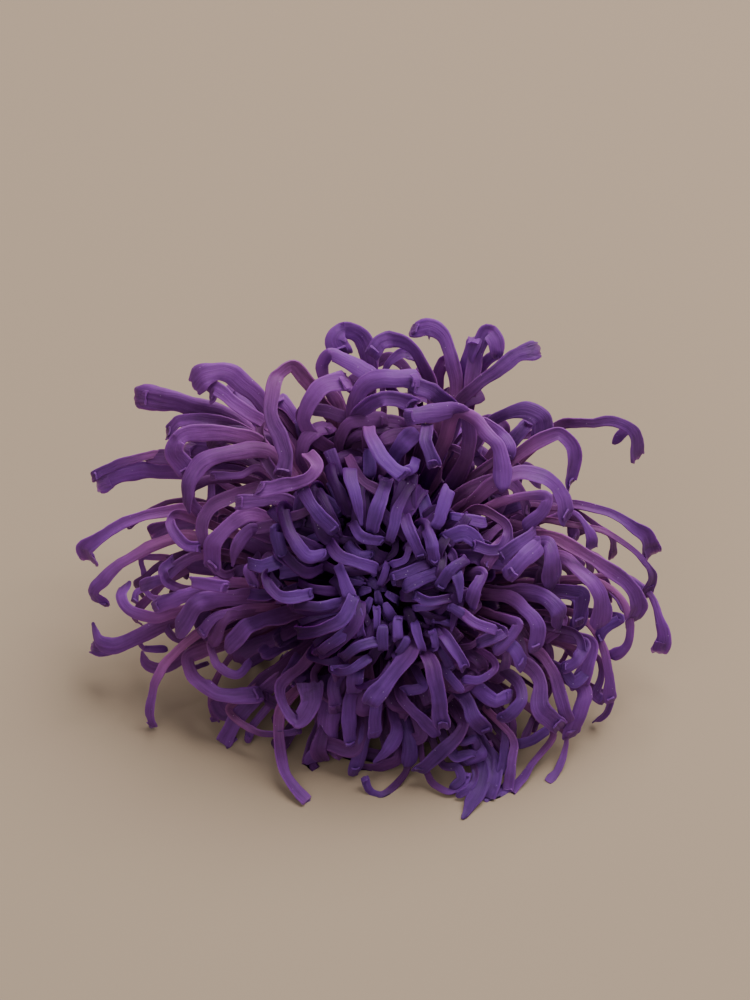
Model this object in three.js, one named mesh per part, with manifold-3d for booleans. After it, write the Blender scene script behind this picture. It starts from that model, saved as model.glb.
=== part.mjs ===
// A quilled (spider) chrysanthemum head lying on its back and lower florets, face up and forward.
// Millimetres, +Z up. The head is drawn in its own face frame and then laid down:
//   face frame: x right, y up the face, z out of the face, origin at the eye of the crown.
import * as THREE from "three";
import { mergeVertices } from "three/addons/utils/BufferGeometryUtils.js";
import Module from "manifold-3d";

const wasm = await Module();
wasm.setup();

// ---------------------------------------------------------------- sizes, millimetres and degrees
const FACE_ELEVATION = 50; // how far the flower's axis stands above the surface
const EYE_HEIGHT = 27.6; // the eye of the crown above the surface
const HUB = [0, 0, -22]; // middle of the receptacle, in the face frame
const CORE_RADIUS = 12; // the packed bases of the florets
const CORE_DEPTH = 11.5; // the same, along the axis
const BACK_PLANE = -25.2; // the receptacle's flat back, where the calyx starts
const BACK_RADIUS = 8;
const ROOT_SINK = 2.0; // how deep a floret's root goes into the core
const FLATNESS = 0.42; // a floret's thickness over its width
const THIN_MIN = 0.72; // thinnest floret
const SLIM_WIDTH = 1.75; // narrower florets are three-sided
const LINE_TOLERANCE = 0.44;
const SLIMMEST = 1.15; // thinner florets are left out of the solid
const CALYX_GAP = 0.3; // between the calyx and the receptacle
const CALYX_RADIUS = 7.4;
const CALYX_FLOOR = -31.2; // where the calyx runs into the peduncle
const STUB_RADIUS = 2.1;
const STUB_END = -35.5; // the peduncle's cut end
const MIDDLE = [-0.45, 8.7]; // of the laid-down head, seen from above, in x and y

// Tip kinds
const CUT = 0; // open mouth, cut straight
const POINT = 1;
const KNOB = 2; // necked, then swollen
const ROUND = 3;
const SPOON = 4; // narrow shaft, broad blunt end

// ---------------------------------------------------------------- florets
// Each line: width, depth z at the first point, depth at the tip, how far it arches forward between
// them, tip kind, then the x, y of the points from where it comes out of the head to its tip.
const UPPER_LEFT = [
  [3.0, -13, -13, 1.0, CUT, -20, 23.3, -25, 24.7, -29.4, 25.8, -33, 26.5],
  [2.9, -10, -9, 2.0, KNOB, -15.5, 25.2, -18.5, 28.2, -21.3, 29.8, -24, 29.3, -25.5, 27.8],
  [1.9, -9, -9, 1.5, CUT, -14, 21.4, -17, 23.6, -20, 25.8, -22.5, 27.5, -22.9, 26.5],
  [1.8, -11, -12, 1.0, CUT, -18, 21.5, -22, 22.8, -25.5, 23.3, -27.5, 22.8, -28.8, 21.3],
  [2.4, -7, -6, 2.0, CUT, -17, 20.2, -23, 21.4, -27, 20.8, -28, 18.8, -26.2, 16.2],
  [2.5, -6, -6, 2.0, POINT, -15, 18.9, -20, 18.6, -24, 17.4, -25.8, 15, -26.3, 12, -26, 10.4],
  [1.1, -8, -7, 0.5, CUT, -16.3, 16.5, -19, 15.6, -22.7, 15.3],
  [1.9, -2, -1, 1.5, CUT, -9.5, 18.3, -8.3, 16.8, -9.3, 15.3, -12, 14.3, -16.1, 13.6],
  [1.9, -4, -4, 1.0, CUT, -13, 12.2, -18.9, 11.8],
  [2.2, -15, -3, 4.0, CUT, -2.2, 17.4, -5.1, 21.8, -7.6, 25.2, -9.3, 27.9, -11.8, 30.6, -14.1, 28.7,
    -14.4, 26, -14.5, 23.1, -13.1, 20.2, -12.6, 18.3, -13.1, 16],
  [2.4, -14, -6, 4.0, CUT, -2.9, 17.9, -6.4, 19.1, -8.7, 20.6, -10, 23.1, -9.3, 26, -7.4, 27.9, -4.5, 28.3],
  [1.6, -16, -13, 0.0, CUT, -3.1, 20.6, -5.1, 24.5, -6.4, 27.2],
  [2.3, -7, -9, 1.5, CUT, -17.4, 10.2, -20.5, 8.6, -22.6, 6.2, -22.8, 3],
  [2.0, -6, -7, 1.0, POINT, -17.4, 8, -19.3, 5.8, -19.9, 3.2],
  [1.1, -9, -9, 1.0, CUT, -22.9, 15, -22.7, 10.2],
];
const TOP = [
  [2.6, -12, -9, 1.5, CUT, -1.5, 28, -1.2, 31, -2, 34, -3.3, 35.2, -4.8, 35.4, -5.8, 34.2, -5, 32.6],
  [2.1, -11, -6, 2.0, CUT, -5, 24, -7.3, 28.5, -7.6, 30.8, -6.5, 32, -4.5, 31.4, -0.7, 29.3],
  [2.1, -12, -7, 2.0, CUT, 8, 22, 7.3, 28, 6.4, 30.5, 5.3, 32.5, 3.6, 33.9, 0.3, 33.8, -0.7, 32.5],
  [1.5, -9, -9, 1.0, SPOON, 1, 29.5, 1.8, 31.3, 3.2, 32.3, 5, 31.8],
  [2.1, -15, -12, 2.0, CUT, 10, 20, 10.8, 27.5, 10.6, 30.5, 9.8, 33.2, 8.6, 35.1, 6.8, 36, 5, 35.7],
  [2.6, -8, -4, 2.0, CUT, -3.6, 23, -3, 26.5, -1, 28.7, 2, 28.9, 5.4, 28.6],
  [2.3, -7, -4, 1.0, CUT, 10.8, 24.3, 9, 26, 6.5, 27.3, 4.6, 27.7],
  [2.2, -7, -3, 2.0, CUT, -2.8, 23.3, -1.5, 25.2, 1, 26, 4.6, 25.4],
  [2.4, -7, -1.5, 1.0, CUT, 12, 17, 12.3, 22, 11.3, 24.2, 8, 24.1, 4, 23.5],
  [2.1, -6, -3, 2.0, ROUND, 9, 20, 10.8, 23.8, 13.2, 23, 15.5, 20.8, 16.9, 18.3, 17, 13.8],
  [1.5, -7, -6, 1.0, CUT, 14.5, 22.8, 17.3, 21, 18.2, 19.3, 17.8, 18],
  [1.7, -3, -0.5, 1.0, CUT, 6.9, 22.2, 6.5, 20, 7.6, 17.2],
  [2.2, -5, -4, 1.0, CUT, 2.2, 18.2, 3.7, 20, 5, 21.3],
  [2.0, -3, 0.5, 1.5, CUT, -1.3, 22, -0.6, 20, 1, 17.4, 3.3, 15.6],
];
const UPPER_RIGHT = [
  [1.9, -16, -12, 1.0, CUT, 11.4, 27, 12.2, 31, 13.2, 34.2],
  [2.2, -14, -12, 1.0, ROUND, 12, 24, 13.2, 30, 14, 33.5, 15.2, 35.2, 16.3, 34, 16.4, 32.4],
  [1.4, -15, -13, 0.0, CUT, 13.5, 29, 15, 31.2, 16.8, 32.4],
  [2.1, -13, -11, 1.5, KNOB, 11, 25.5, 13.5, 27.8, 16.5, 30, 19.5, 32.2, 22.3, 33],
  [2.8, -10, -9, 2.0, SPOON, 15.5, 22.7, 18, 24.2, 20.9, 24.3, 22.8, 23.1, 22.8, 21],
  [2.1, -7, -8, 2.5, CUT, 18, 17.5, 20.5, 19.2, 23.5, 20.8, 25.2, 21.2, 26.6, 19.6, 26.9, 17.5, 26.3, 14.6],
  [1.8, -12, -11, 1.0, CUT, 16, 17, 19, 20.8, 21, 22.7],
  [2.4, -13, -15, 3.0, SPOON, 24.9, 22.2, 28.9, 22.8, 33.4, 22.8, 35.6, 21.3, 36.2, 18],
];
const RIGHT = [
  [2.6, -4, -7, 1.0, CUT, 16, 14.5, 20, 15.8, 23.5, 15, 25.3, 12.5, 26, 9.8],
  [1.7, -5, -4, 2.0, CUT, 15, 11, 20, 12.6, 23, 12.3, 22.6, 10.5, 20.3, 8.4],
  [2.7, -12, -15, 3.0, SPOON, 26.5, 11.2, 31, 10.6, 34.6, 8.9, 37, 7, 37.8, 4.6],
  [1.9, -10, -16, 3.0, SPOON, 23, 9.2, 28, 8.6, 31, 7.9, 34, 6.2, 36.8, 3.5, 37.9, 1.5, 37.4, -1],
  [1.5, -9, -10, 1.0, SPOON, 26.8, 10.4, 28.3, 9, 29.4, 7.3, 29.6, 5.3],
  [2.5, -4, -6, 1.5, ROUND, 23.4, 6.2, 24.2, 3.5, 24.1, 0.4],
  [2.4, -7, -12, 3.0, CUT, 22.5, 7.2, 27, 5.5, 31, 3, 34.5, 0.5, 35.8, -2, 35, -4.5],
  [2.5, -8, -10, 3.0, CUT, 25.2, 4.2, 27.6, 2.6, 29.9, 0.4, 30.8, -2.4, 30.6, -5],
  [1.3, -14, -16, 1.0, CUT, 27, 5.2, 30, 4.2, 34.3, 1.6, 37.2, -1],
  [2.0, -16, -18, 1.0, SPOON, 35, 1.4, 38, -1.2, 39.2, -4.2, 39.6, -7, 39.1, -9],
  [1.4, -12, -14, 2.0, CUT, 30, 1, 33.8, -1.5, 34.8, -5, 34.2, -8.3, 32.2, -9.8],
  [1.5, -14, -16, 2.0, CUT, 28, -4, 31, -8, 32, -12, 32.2, -15.6],
  [1.2, -15, -17, 0.5, CUT, 30.8, -10, 30.9, -12.8, 30.2, -14.8, 31.2, -15.8],
  [1.2, -17, -19, 0.5, CUT, 32.3, -15.5, 31.8, -17, 30.2, -18.6],
  [2.2, -13, -15, 1.0, CUT, 28.3, -14, 28.2, -17, 26.8, -20.3],
  [2.2, -11, -13, 1.0, CUT, 29.5, -8, 28.8, -11, 27.8, -13.5],
  [2.0, -11, -14, 2.0, CUT, 22.5, -9, 25, -14, 26, -17.5, 26.3, -19],
  [2.4, -10, -11, 2.0, CUT, 22, -12, 22.5, -16.5, 25, -19],
  [1.1, -15, -13.4, 0.0, KNOB, 26.1, -20.7, 25.9, -23.2, 24.9, -25.1, 23.6, -26.9],
  [1.3, -14, -12.2, 0.0, CUT, 24.3, -20.3, 21.2, -24.6, 18.6, -28.2],
  [1.4, -12, -12.4, 1.0, CUT, 18.8, -21.3, 18.4, -24.4, 18, -28.2],
];
const RIGHT_INNER = [
  [1.5, -3, -3, 1.0, CUT, 11.2, 9.6, 14.6, 9],
  [1.6, -5, -2.5, 1.5, CUT, 13.8, 10.9, 16.5, 9.6, 17.9, 8, 17.1, 5.8, 15.3, 5.4, 13.4, 6],
  [1.9, -4, -2, 1.5, CUT, 21.7, 7.8, 19.3, 6, 17.1, 4.4],
  [2.4, -3, -1, 1.5, CUT, 22.1, 6, 20.3, 4, 18.1, 2],
  [1.5, -5, -3, 1.0, CUT, 18.1, 3.2, 14.8, 3.4],
  [1.8, -1, -1.5, 1.0, CUT, 14.2, 1.8, 13.2, -0.4, 12.8, -2.4],
  [2.0, -6, -5, 2.0, CUT, 17.5, -1, 20.5, -3, 22, -5.5, 21.8, -8.2],
  [2.4, -5, -7, 2.0, ROUND, 22.5, -1, 24.9, -3.2, 25.1, -5],
  [2.0, -8, -9, 1.0, CUT, 28.3, -1, 27.7, -4.8],
  [1.7, -9, -9, 1.0, CUT, 28.7, -8, 27.3, -10, 25.7, -11],
  [1.4, -2, -2, 1.2, CUT, 11.2, -3, 13.2, -4.6, 15.9, -5.6],
  [1.5, -3, -3, 1.0, CUT, 17.3, -6, 14.2, -7.6],
  [1.5, -3, -3.5, 1.2, CUT, 19.3, -5, 16.3, -8.8],
];
const LEFT = [
  [1.3, -16, -18, 1.0, CUT, -24, 17, -30, 18.3, -35, 17.6, -39.4, 15.4],
  [2.5, -17, -18, 1.0, KNOB, -24, 15.6, -31, 16, -36, 15.6, -39.4, 14.5],
  [2.5, -15, -19, 2.5, SPOON, -24, 11, -31, 10.2, -35, 8.9, -38.4, 6.9, -40.2, 5.6, -39.9, 3.8],
  [1.5, -9, -8, 2.0, CUT, -27.6, 10.2, -28.8, 9.5, -28.3, 8, -26.5, 6, -24.8, 5.8],
  [2.0, -15, -20, 2.5, CUT, -27, 7, -31, 6, -35, 3.9, -38.3, 1.2, -39.7, -0.8, -38.6, -2.2],
  [1.0, -17, -19, 0.0, CUT, -32.8, 4, -32.6, 2.3, -32.4, 0.6],
  [1.6, -12, -12, 2.5, CUT, -23.4, 4.6, -27.2, 3.3, -30.1, 1, -32.4, 0.2],
  [1.4, -11, -10, 2.0, CUT, -27.6, -0.2, -29.4, 1, -29.7, 2.5, -28.4, 3.7],
  [1.7, -15, -17, 2.0, CUT, -26, -3, -31, -4.2, -34.6, -3.2, -35.8, -1.2, -35.1, 0.2],
  [2.3, -17, -20, 2.0, POINT, -28, -4.7, -33, -6.9, -37, -8.2, -39, -7.6, -39.7, -5.2],
  [1.0, -18, -20, 0.5, CUT, -30, -5, -33, -6.8, -32.6, -8.4, -29.4, -8.5],
  [1.4, -15, -19.5, 3.0, CUT, -18, -3, -24, -5.9, -28, -9, -30.8, -13, -31.8, -17, -31.2, -19.5],
  [1.8, -6, -6, 1.5, CUT, -25.7, 0.8, -21.1, 0.1],
  [2.1, -9, -12, 1.5, CUT, -25.7, -0.6, -30.9, -2.5],
  [2.6, -7, -10, 1.5, ROUND, -24.7, -2.1, -27.6, -6],
  [1.4, -9, -11, 1.0, CUT, -22, -3.8, -24.4, -6.3],
  [2.5, -8, -10, 1.5, ROUND, -18.2, -5.5, -20.6, -8.2],
  [1.3, -13, -12, 1.5, CUT, -23.2, -7.9, -22, -10.8, -19.5, -11.9, -17.8, -10.4],
  [2.1, -16, -13, 2.0, CUT, -26.3, -9.8, -25.1, -12.6, -22.4, -14.6, -18.6, -15, -16.5, -14.8],
  [1.1, -15, -13, 1.0, CUT, -20.5, -16.9, -18.6, -19, -16.1, -20.3, -10.9, -19.8],
  [2.7, -10, -8, 1.5, SPOON, -13.4, -13.5, -13.1, -16.2, -11, -18.2, -9.4, -16.4, -9.4, -13],
  [2.2, -16, -17.5, 1.0, CUT, -19.4, -17.8, -21.3, -21.5],
  [1.2, -16, -17, 0.5, CUT, -17, -18.5, -18.2, -21.1],
  [1.7, -13.5, -11, 0.5, CUT, -13.3, -17, -13.6, -20.5, -13.2, -24.5, -12, -27.5, -10.2, -29.4],
  [2.8, -11, -12, 1.0, ROUND, -6.8, -16.9, -6.8, -21.2],
  [1.9, -14, -15, 0.0, CUT, -7.1, -21.7, -9.8, -24.2],
  [1.9, -9, -10, 1.0, CUT, -6.1, -13.6, -5.7, -16.7],
  [1.3, -6, -7, 1.0, CUT, -17.8, 2.8, -17.3, 0.4],
];
const BOTTOM = [
  [2.4, -3, -4, 1.0, CUT, 4.8, -8.2, -0.9, -15.5],
  [2.3, -3, -6, 1.5, CUT, 6.9, -9.8, 8, -14, 9, -18.6],
  [1.6, -2.5, -3, 1.0, CUT, 9.6, -6.9, 11.7, -10.5],
  [1.4, -4, -4.5, 1.0, CUT, 8.6, -8.6, 9.8, -10.9],
  [1.3, -4.5, -5, 1.0, CUT, 9.2, -11.3, 11.3, -14],
  [2.2, -5, -7, 1.0, CUT, -3.1, -12.1, -3.3, -14.2],
  [1.2, -4, -4, 1.0, CUT, -2.2, -10.7, -6.4, -11.1],
  [2.1, -8, -11, 1.5, CUT, -3.9, -15.9, -3.7, -21.7],
  [2.0, -11, -13, 1.0, CUT, -1.8, -21.3, -3.3, -25.5],
  [1.9, -8, -10, 1.0, CUT, -0.2, -16.3, -0.4, -20.3],
  [2.0, -10, -12, 1.0, POINT, 2.6, -20.5, 1.1, -22.6, -0.6, -24.4],
  [2.1, -11, -12, 1.0, CUT, 4.3, -21.5, 4.1, -24.6],
  [1.8, -7, -9, 1.0, CUT, 3.4, -15.5, 5.7, -17.8, 8, -20.3],
  [2.0, -8, -11, 1.0, CUT, 11.9, -19.4, 8.8, -22.6, 5.7, -25.1],
  [1.2, -12.6, -11.4, 0.0, CUT, 4, -24.5, 2, -27.7, 0.3, -28.9, -1.2, -28, -1.8, -26.4],
  [1.1, -12, -11.5, 0.5, CUT, 7.5, -26.7, 9.8, -28.2, 11.7, -27.4, 12.3, -25.9],
  [2.0, -12, -9.4, 0.0, POINT, 14, -22, 13, -28, 11.6, -31.8],
  [2.2, -8, -10, 1.5, CUT, 12.6, -15.9, 13.6, -18.2, 14.8, -19.8],
  [2.1, -8, -8, 1.5, CUT, 14.2, -14.4, 16.1, -15.7, 18.2, -15.1],
  [1.8, -8, -8, 1.5, CUT, 19.2, -13, 19.8, -15.3, 18.4, -17.4, 17.1, -18.2],
  [2.1, -5, -6, 1.0, CUT, 18.8, -8.2, 19.9, -10.5],
  [1.2, -6, -6, 1.0, CUT, 15.7, -9.8, 16.1, -11.1, 14.2, -12.6, 11.9, -12.8],
  [1.6, -13, -11.8, 0.0, CUT, 18.6, -25.4, 17.4, -28, 15.1, -29.6],
  [1.5, -11, -12, 0.5, CUT, 14.3, -23.2, 12, -24.4],
  [1.5, -7, -7.5, 0.5, CUT, 6, -13.6, 3.8, -14.2],
];
const CROWN = [
  [1.9, -1.5, -1, 2.0, CUT, -13.2, 11, -11.8, 7.5, -9.8, 4.6, -7.2, 4.5],
  [1.9, -1, 0, 2.0, CUT, -10.6, 13.7, -8.5, 10.8, -6, 8.1],
  [1.9, -1, -0.5, 1.5, POINT, -3.9, 16.4, -3.1, 12.7, -2.5, 8.9],
  [2.0, -1.5, 0, 1.5, CUT, 1.3, 14.7, 0.2, 11.4, -0.8, 8.3],
  [1.5, -2, -0.5, 1.0, CUT, 4.6, 14.3, 2.7, 11.2, 1.7, 6.8],
  [1.7, -1, -0.5, 1.5, CUT, 3.6, 9.9, 4.6, 7.5, 5.9, 4.7],
  [1.7, -1, -0.5, 1.5, CUT, 6.3, 8.7, 7.5, 6, 7.7, 3.7],
  [1.9, -1, -0.5, 1.5, CUT, 9.8, 13.3, 8.2, 8.7],
  [1.5, -1.5, -1, 1.0, CUT, -3.7, 9.1, -2.3, 7.2, 0.2, 6.4],
  [1.6, -2, -1.5, 1.0, CUT, -4.3, 6, -2.7, 4.5, -1, 4.5],
  [1.7, -1.5, -1, 1.0, CUT, -6.6, 6.2, -4.6, 4.1, -0.6, 2.7],
  [1.9, -1.5, -1.5, 1.5, CUT, -14, 8, -13.2, 4.3],
  [1.7, -1.5, -1, 1.5, CUT, -15.4, 1.8, -13.9, -0.9, -11.7, -1.3, -9.3, -0.7],
  [1.7, -1.5, -1, 1.0, CUT, -5.4, 2.9, -3.9, -0.9],
  [1.2, -2.5, -2.5, 0.5, POINT, -3.9, 1, -1.6, 0.6],
  [1.8, -2, -1, 1.5, CUT, -11, -6.1, -7.5, -5.7, -4.6, -4, -3.3, -1.3],
  [1.5, -2, -2, 1.5, CUT, -11.2, -2.3, -8.1, -2.4, -5, -1.9],
  [1.0, -3, -2.5, 1.0, CUT, -10.4, -4.8, -5.4, -2.8],
  [1.6, -3, -2.5, 1.5, CUT, -7.9, -8.8, -5.8, -7.3, -3.3, -5.3],
  [1.5, -3, -2.5, 1.0, CUT, -4.8, -9.4, -2.7, -8, -0.4, -7.3],
  [1.3, -4, -3, 1.0, CUT, -6.2, -11.3, -3.5, -11.3, -1.4, -9.8],
  [1.5, -2.5, -2, 1.0, ROUND, 0.6, -8.6, 0.6, -5.4],
  [1.2, -3, -2.5, 0.5, CUT, -2.3, -6.3, -2.7, -2.8],
  [1.0, -3, -3, 0.5, CUT, -0.2, -5.5, -0.2, -3],
  [1.4, -2.5, -2.5, 0.5, CUT, 2.7, -6.9, 2.7, -4.2],
  [1.2, -3, -2.5, 0.5, CUT, 2.7, -9.2, 4, -6.7],
  [1.2, -3, -2.5, 0.5, CUT, 5.9, -8.4, 5.2, -5.1],
  [1.1, -3, -2.5, 0.5, CUT, 7.7, -8.4, 7.5, -5.9],
  [1.4, -1.5, -1.5, 1.0, CUT, 6.7, 3.3, 2.3, 1.6],
  [1.8, -1.5, -1, 1.2, CUT, 8, 2.2, 3.8, 0.2],
  [1.6, -1.5, -1.5, 1.0, CUT, 12.1, 4.1, 9.8, 2.2, 8.6, 0.2],
  [1.7, -1, -1, 1.0, POINT, 10.9, 1.8, 11.3, -1.9],
  [1.0, -2, -2, 0.5, CUT, 4.2, 6, 3.8, 3.9, 1.9, 3.3],
  [1.0, -2.5, -3, 0.5, CUT, 1.1, 3.3, 0.4, 0.6],
  [1.3, -1.5, -1.5, 1.0, CUT, 9.8, -1.3, 6.9, -1.7, 5.4, -0.9],
  [0.9, -2, -2, 0.5, CUT, 8.8, -2.4, 5, -2.6],
  [1.4, -2.5, -2, 0.8, CUT, 13.8, -5.1, 11.3, -3.4, 9.6, -2.4],
  [1.1, -3.5, -3, 0.5, CUT, 10.7, -5.1, 7.7, -4.2],
  [2.2, -3, -2.5, 1.0, CUT, 13.8, 6, 11.7, 7.5, 9.4, 6.8],
  [1.1, -3, -3, 0.5, CUT, 13.4, 9.5, 10, 9.9],
  [1.8, -4, -3.5, 1.0, CUT, -6.4, 14.6, -4.4, 12],
  [1.8, -3, -3, 1.0, CUT, -8.4, 12.9, -5.3, 10.6],
  [1.3, -3, -3, 0.5, CUT, -9.6, 6.4, -7.5, 7.2],
  [1.8, -3, -2.5, 0.8, CUT, -17.8, 3.3, -15.5, 2.9, -13.2, 3.8],
  [2.0, -3, -3, 0.8, CUT, -13.2, 2.4, -10.6, 2.7],
  [1.8, -2.5, -2, 1.0, ROUND, -1.2, 19, -1, 15.6],
  [1.4, -3, -1.5, 1.0, CUT, 5.3, 18, 4.9, 16.4, 3.8, 15.9],
  [1.8, -5, -4, 1.0, CUT, 6, 13, 6.6, 9.8],
];
const HERO = [UPPER_LEFT, TOP, UPPER_RIGHT, RIGHT, RIGHT_INNER, LEFT, BOTTOM, CROWN].flat();


// Outermost florets under the others: by rule, in rows bent back round the calyx. For each row: how many,
// depth where they leave the receptacle, shortest reach from the axis, the most it's drawn longer, the
// most reach of those that point up the face, and how far back they bend.
const SKIRT_ROWS = [
  [26, -23.2, 15, 6, 14.5, 6.5],
  [22, -18.5, 19, 3, 17.0, 4.5],
];
const SKIRT_SEED = 41;
const SKIRT_START = 7; // radius of their roots, inside the core
// Youngest florets in the eye, by rule too.
const EYE_COUNT = 9;
const EYE_SEED = 7;
const EYE_SPREAD = 1.15;
const GOLDEN_ANGLE = 137.508;

// ---------------------------------------------------------------- frames
const ELEVATION = THREE.MathUtils.degToRad(FACE_ELEVATION);
const SIN = Math.sin(ELEVATION);
const COS = Math.cos(ELEVATION);
const v = (x, y, z) => new THREE.Vector3(x, y, z);
const toRow = (p) =>
  v(p.x - MIDDLE[0], p.y * SIN - p.z * COS - MIDDLE[1], EYE_HEIGHT + p.y * COS + p.z * SIN);
const AXIS = v(0, -COS, SIN); // out of the face, in the row frame
const hub = v(...HUB);

function seeded(seed) {
  let a = seed >>> 0;
  return () => {
    a = (a + 0x6d2b79f5) >>> 0;
    let t = Math.imul(a ^ (a >>> 15), 1 | a);
    t = (t + Math.imul(t ^ (t >>> 7), 61 | t)) ^ t;
    return ((t ^ (t >>> 14)) >>> 0) / 4294967296;
  };
}

function skirt() {
  const draw = seeded(SKIRT_SEED);
  const lines = [];
  for (const [count, depth, shortest, longer, topReach, bend] of SKIRT_ROWS)
    for (let i = 0; i < count; i++) {
      const a = THREE.MathUtils.degToRad((i * 360) / count + 9 * (draw() - 0.5));
      let reach = shortest + longer * draw();
      if (Math.sin(a) > 0.25) reach = Math.min(reach, topReach);
      const drop = bend * (0.75 + 0.5 * draw());
      const sway = 2.5 * (draw() - 0.5);
      const z = depth - 1.4 * draw();
      const at = (r, down, off) => [
        r * Math.cos(a) - off * sway * Math.sin(a),
        r * Math.sin(a) + off * sway * Math.cos(a),
        z - down * drop,
      ];
      lines.push([
        1.6 + 0.5 * draw(),
        [at(SKIRT_START, 0, 0), at(reach * 0.66, 0.15, 0.3), at(reach, 0.85, 1), at(reach - 0.8, 1.25, 1.2)],
      ]);
    }
  return lines;
}

function eye() {
  const draw = seeded(EYE_SEED);
  const lines = [];
  for (let i = 0; i < EYE_COUNT; i++) {
    const a = THREE.MathUtils.degToRad(i * GOLDEN_ANGLE);
    const r = EYE_SPREAD * Math.sqrt(i + 0.4);
    const z = -5.2 + 0.45 * r + 0.8 * draw();
    lines.push([
      1.15 + 0.25 * draw(),
      [
        [r * 0.9 * Math.cos(a), r * 0.9 * Math.sin(a), -14],
        [1.25 * r * Math.cos(a), 1.25 * r * Math.sin(a), z - 1.4],
        [r * Math.cos(a), r * Math.sin(a), z],
        [(r - 1.3) * Math.cos(a), (r - 1.3) * Math.sin(a), z + 0.1],
      ],
    ]);
  }
  return lines;
}

// The centre line of a floret in the face frame: its root in the core, a point on the way out and,
// where it hooks back, a shoulder under the bend, then its own points.
function centreLine(line) {
  const [, zFirst, zTip, arch, , ...xy] = line;
  const n = xy.length / 2;
  const own = [];
  for (let i = 0; i < n; i++) {
    const s = n > 1 ? i / (n - 1) : 1;
    own.push(v(xy[2 * i], xy[2 * i + 1], zFirst + (zTip - zFirst) * s + arch * 4 * s * (1 - s)));
  }
  const first = own[0];
  const out = first.clone().sub(hub);
  const unit = out.clone().normalize();
  const root = hub.clone().add(v(unit.x * CORE_RADIUS, unit.y * CORE_RADIUS, unit.z * CORE_DEPTH));
  root.addScaledVector(unit, -ROOT_SINK);
  const points = [root];
  const onward = own[1].clone().sub(first).normalize();
  const turn = unit.dot(onward);
  const run = first.distanceTo(root);
  if (turn < 0.35) {
    // a hook: the shaft comes up under the bend
    points.push(first.clone().addScaledVector(unit, -2.0).addScaledVector(onward, -0.35));
  } else if (run > 9) {
    points.push(root.clone().lerp(first, 0.55).add(v(0, 0, run * 0.05)));
  }
  return points.concat(own);
}

// Points nearly in line with their neighbours aren't needed in a straight-sided solid.
function thinned(points) {
  const kept = [points[0]];
  for (let i = 1; i < points.length - 1; i++) {
    const a = kept[kept.length - 1];
    const chord = points[i + 1].clone().sub(a).normalize();
    const off = points[i].clone().sub(a);
    if (off.addScaledVector(chord, -off.dot(chord)).length() > LINE_TOLERANCE) kept.push(points[i]);
  }
  kept.push(points[points.length - 1]);
  return kept;
}

// ---------------------------------------------------------------- a floret as a closed solid
function floret(points, width, tip) {
  const thick = Math.max(THIN_MIN, width * FLATNESS);
  const c = thinned(points).map(toRow);
  for (const p of c) p.z = Math.max(p.z, thick * 0.5);
  const corners =
    width < SLIM_WIDTH
      ? [[1, 0.8], [-1, 0.8], [0, -1.2]]
      : [[1, 1], [-1, 1], [-1, -1], [1, -1]];
  const last = c.length - 1;
  const tangents = c.map((p, i) =>
    c[Math.min(i + 1, last)].clone().sub(c[Math.max(i - 1, 0)]).normalize(),
  );
  // the flat side faces along the bend, and leans to face out of the flower
  const bend = v(0, 0, 0);
  for (let i = 1; i < last; i++) {
    const a = c[i].clone().sub(c[i - 1]);
    const b = c[i + 1].clone().sub(c[i]);
    bend.add(a.cross(b));
  }
  const flat = AXIS.clone().cross(c[last].clone().sub(c[0]).normalize());
  if (bend.dot(flat) < 0) bend.negate();
  bend.normalize().multiplyScalar(0.6).addScaledVector(flat, 0.8);
  let side = null;
  const rings = c.map((p, i) => {
    const t = tangents[i];
    const byBend = bend.clone().addScaledVector(t, -bend.dot(t));
    const byFace = AXIS.clone().cross(t);
    if (side) {
      if (byBend.dot(side) < 0) byBend.negate();
      if (byFace.dot(side) < 0) byFace.negate();
    } else if (byFace.dot(byBend) < 0) byFace.negate();
    const s = byBend.addScaledVector(byFace, 1.3);
    if (side) s.addScaledVector(side, 0.25);
    s.addScaledVector(t, -s.dot(t)).normalize();
    side = s;
    const n = t.clone().cross(s);
    let w = width * (i === 0 ? 0.4 : i === 1 ? 0.8 : 1);
    let h = thick;
    if (i === last) {
      if (tip === CUT) w *= 0.95;
      if (tip === POINT) w *= 0.35;
      if (tip === KNOB) w *= 1.2;
      if (tip === ROUND) w *= 0.6;
      if (tip === SPOON) w *= 0.95;
    } else if (i === last - 1 && tip === KNOB) w *= 0.8;
    else if (i < last - 1 && tip === SPOON) w *= 0.6;
    return corners.map(([a, b]) => {
      const q = p.clone().addScaledVector(s, (a * w) / 2).addScaledVector(n, (b * h) / 2);
      q.z = Math.max(q.z, 0);
      return q;
    });
  });
  const position = [];
  const quad = (a, b, d, e) => position.push(...[a, b, d, a, d, e].flatMap((q) => q.toArray()));
  for (let i = 0; i < last; i++)
    for (let k = 0; k < corners.length; k++) {
      const m = (k + 1) % corners.length;
      quad(rings[i][k], rings[i][m], rings[i + 1][m], rings[i + 1][k]);
    }
  const cap = (ring) => {
    for (let k = 1; k < ring.length - 1; k++)
      position.push(...[ring[0], ring[k], ring[k + 1]].flatMap((q) => q.toArray()));
  };
  cap([...rings[0]].reverse());
  cap(rings[last]);
  return solid(position);
}

function solid(position) {
  const geometry = new THREE.BufferGeometry();
  geometry.setAttribute("position", new THREE.Float32BufferAttribute(position, 3));
  const merged = mergeVertices(geometry, 1e-4);
  const made = new wasm.Manifold(
    new wasm.Mesh({
      numProp: 3,
      vertProperties: merged.attributes.position.array,
      triVerts: new Uint32Array(merged.index.array),
    }),
  );
  if (made.volume() < 0) throw new Error("inside out");
  return made;
}

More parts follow.
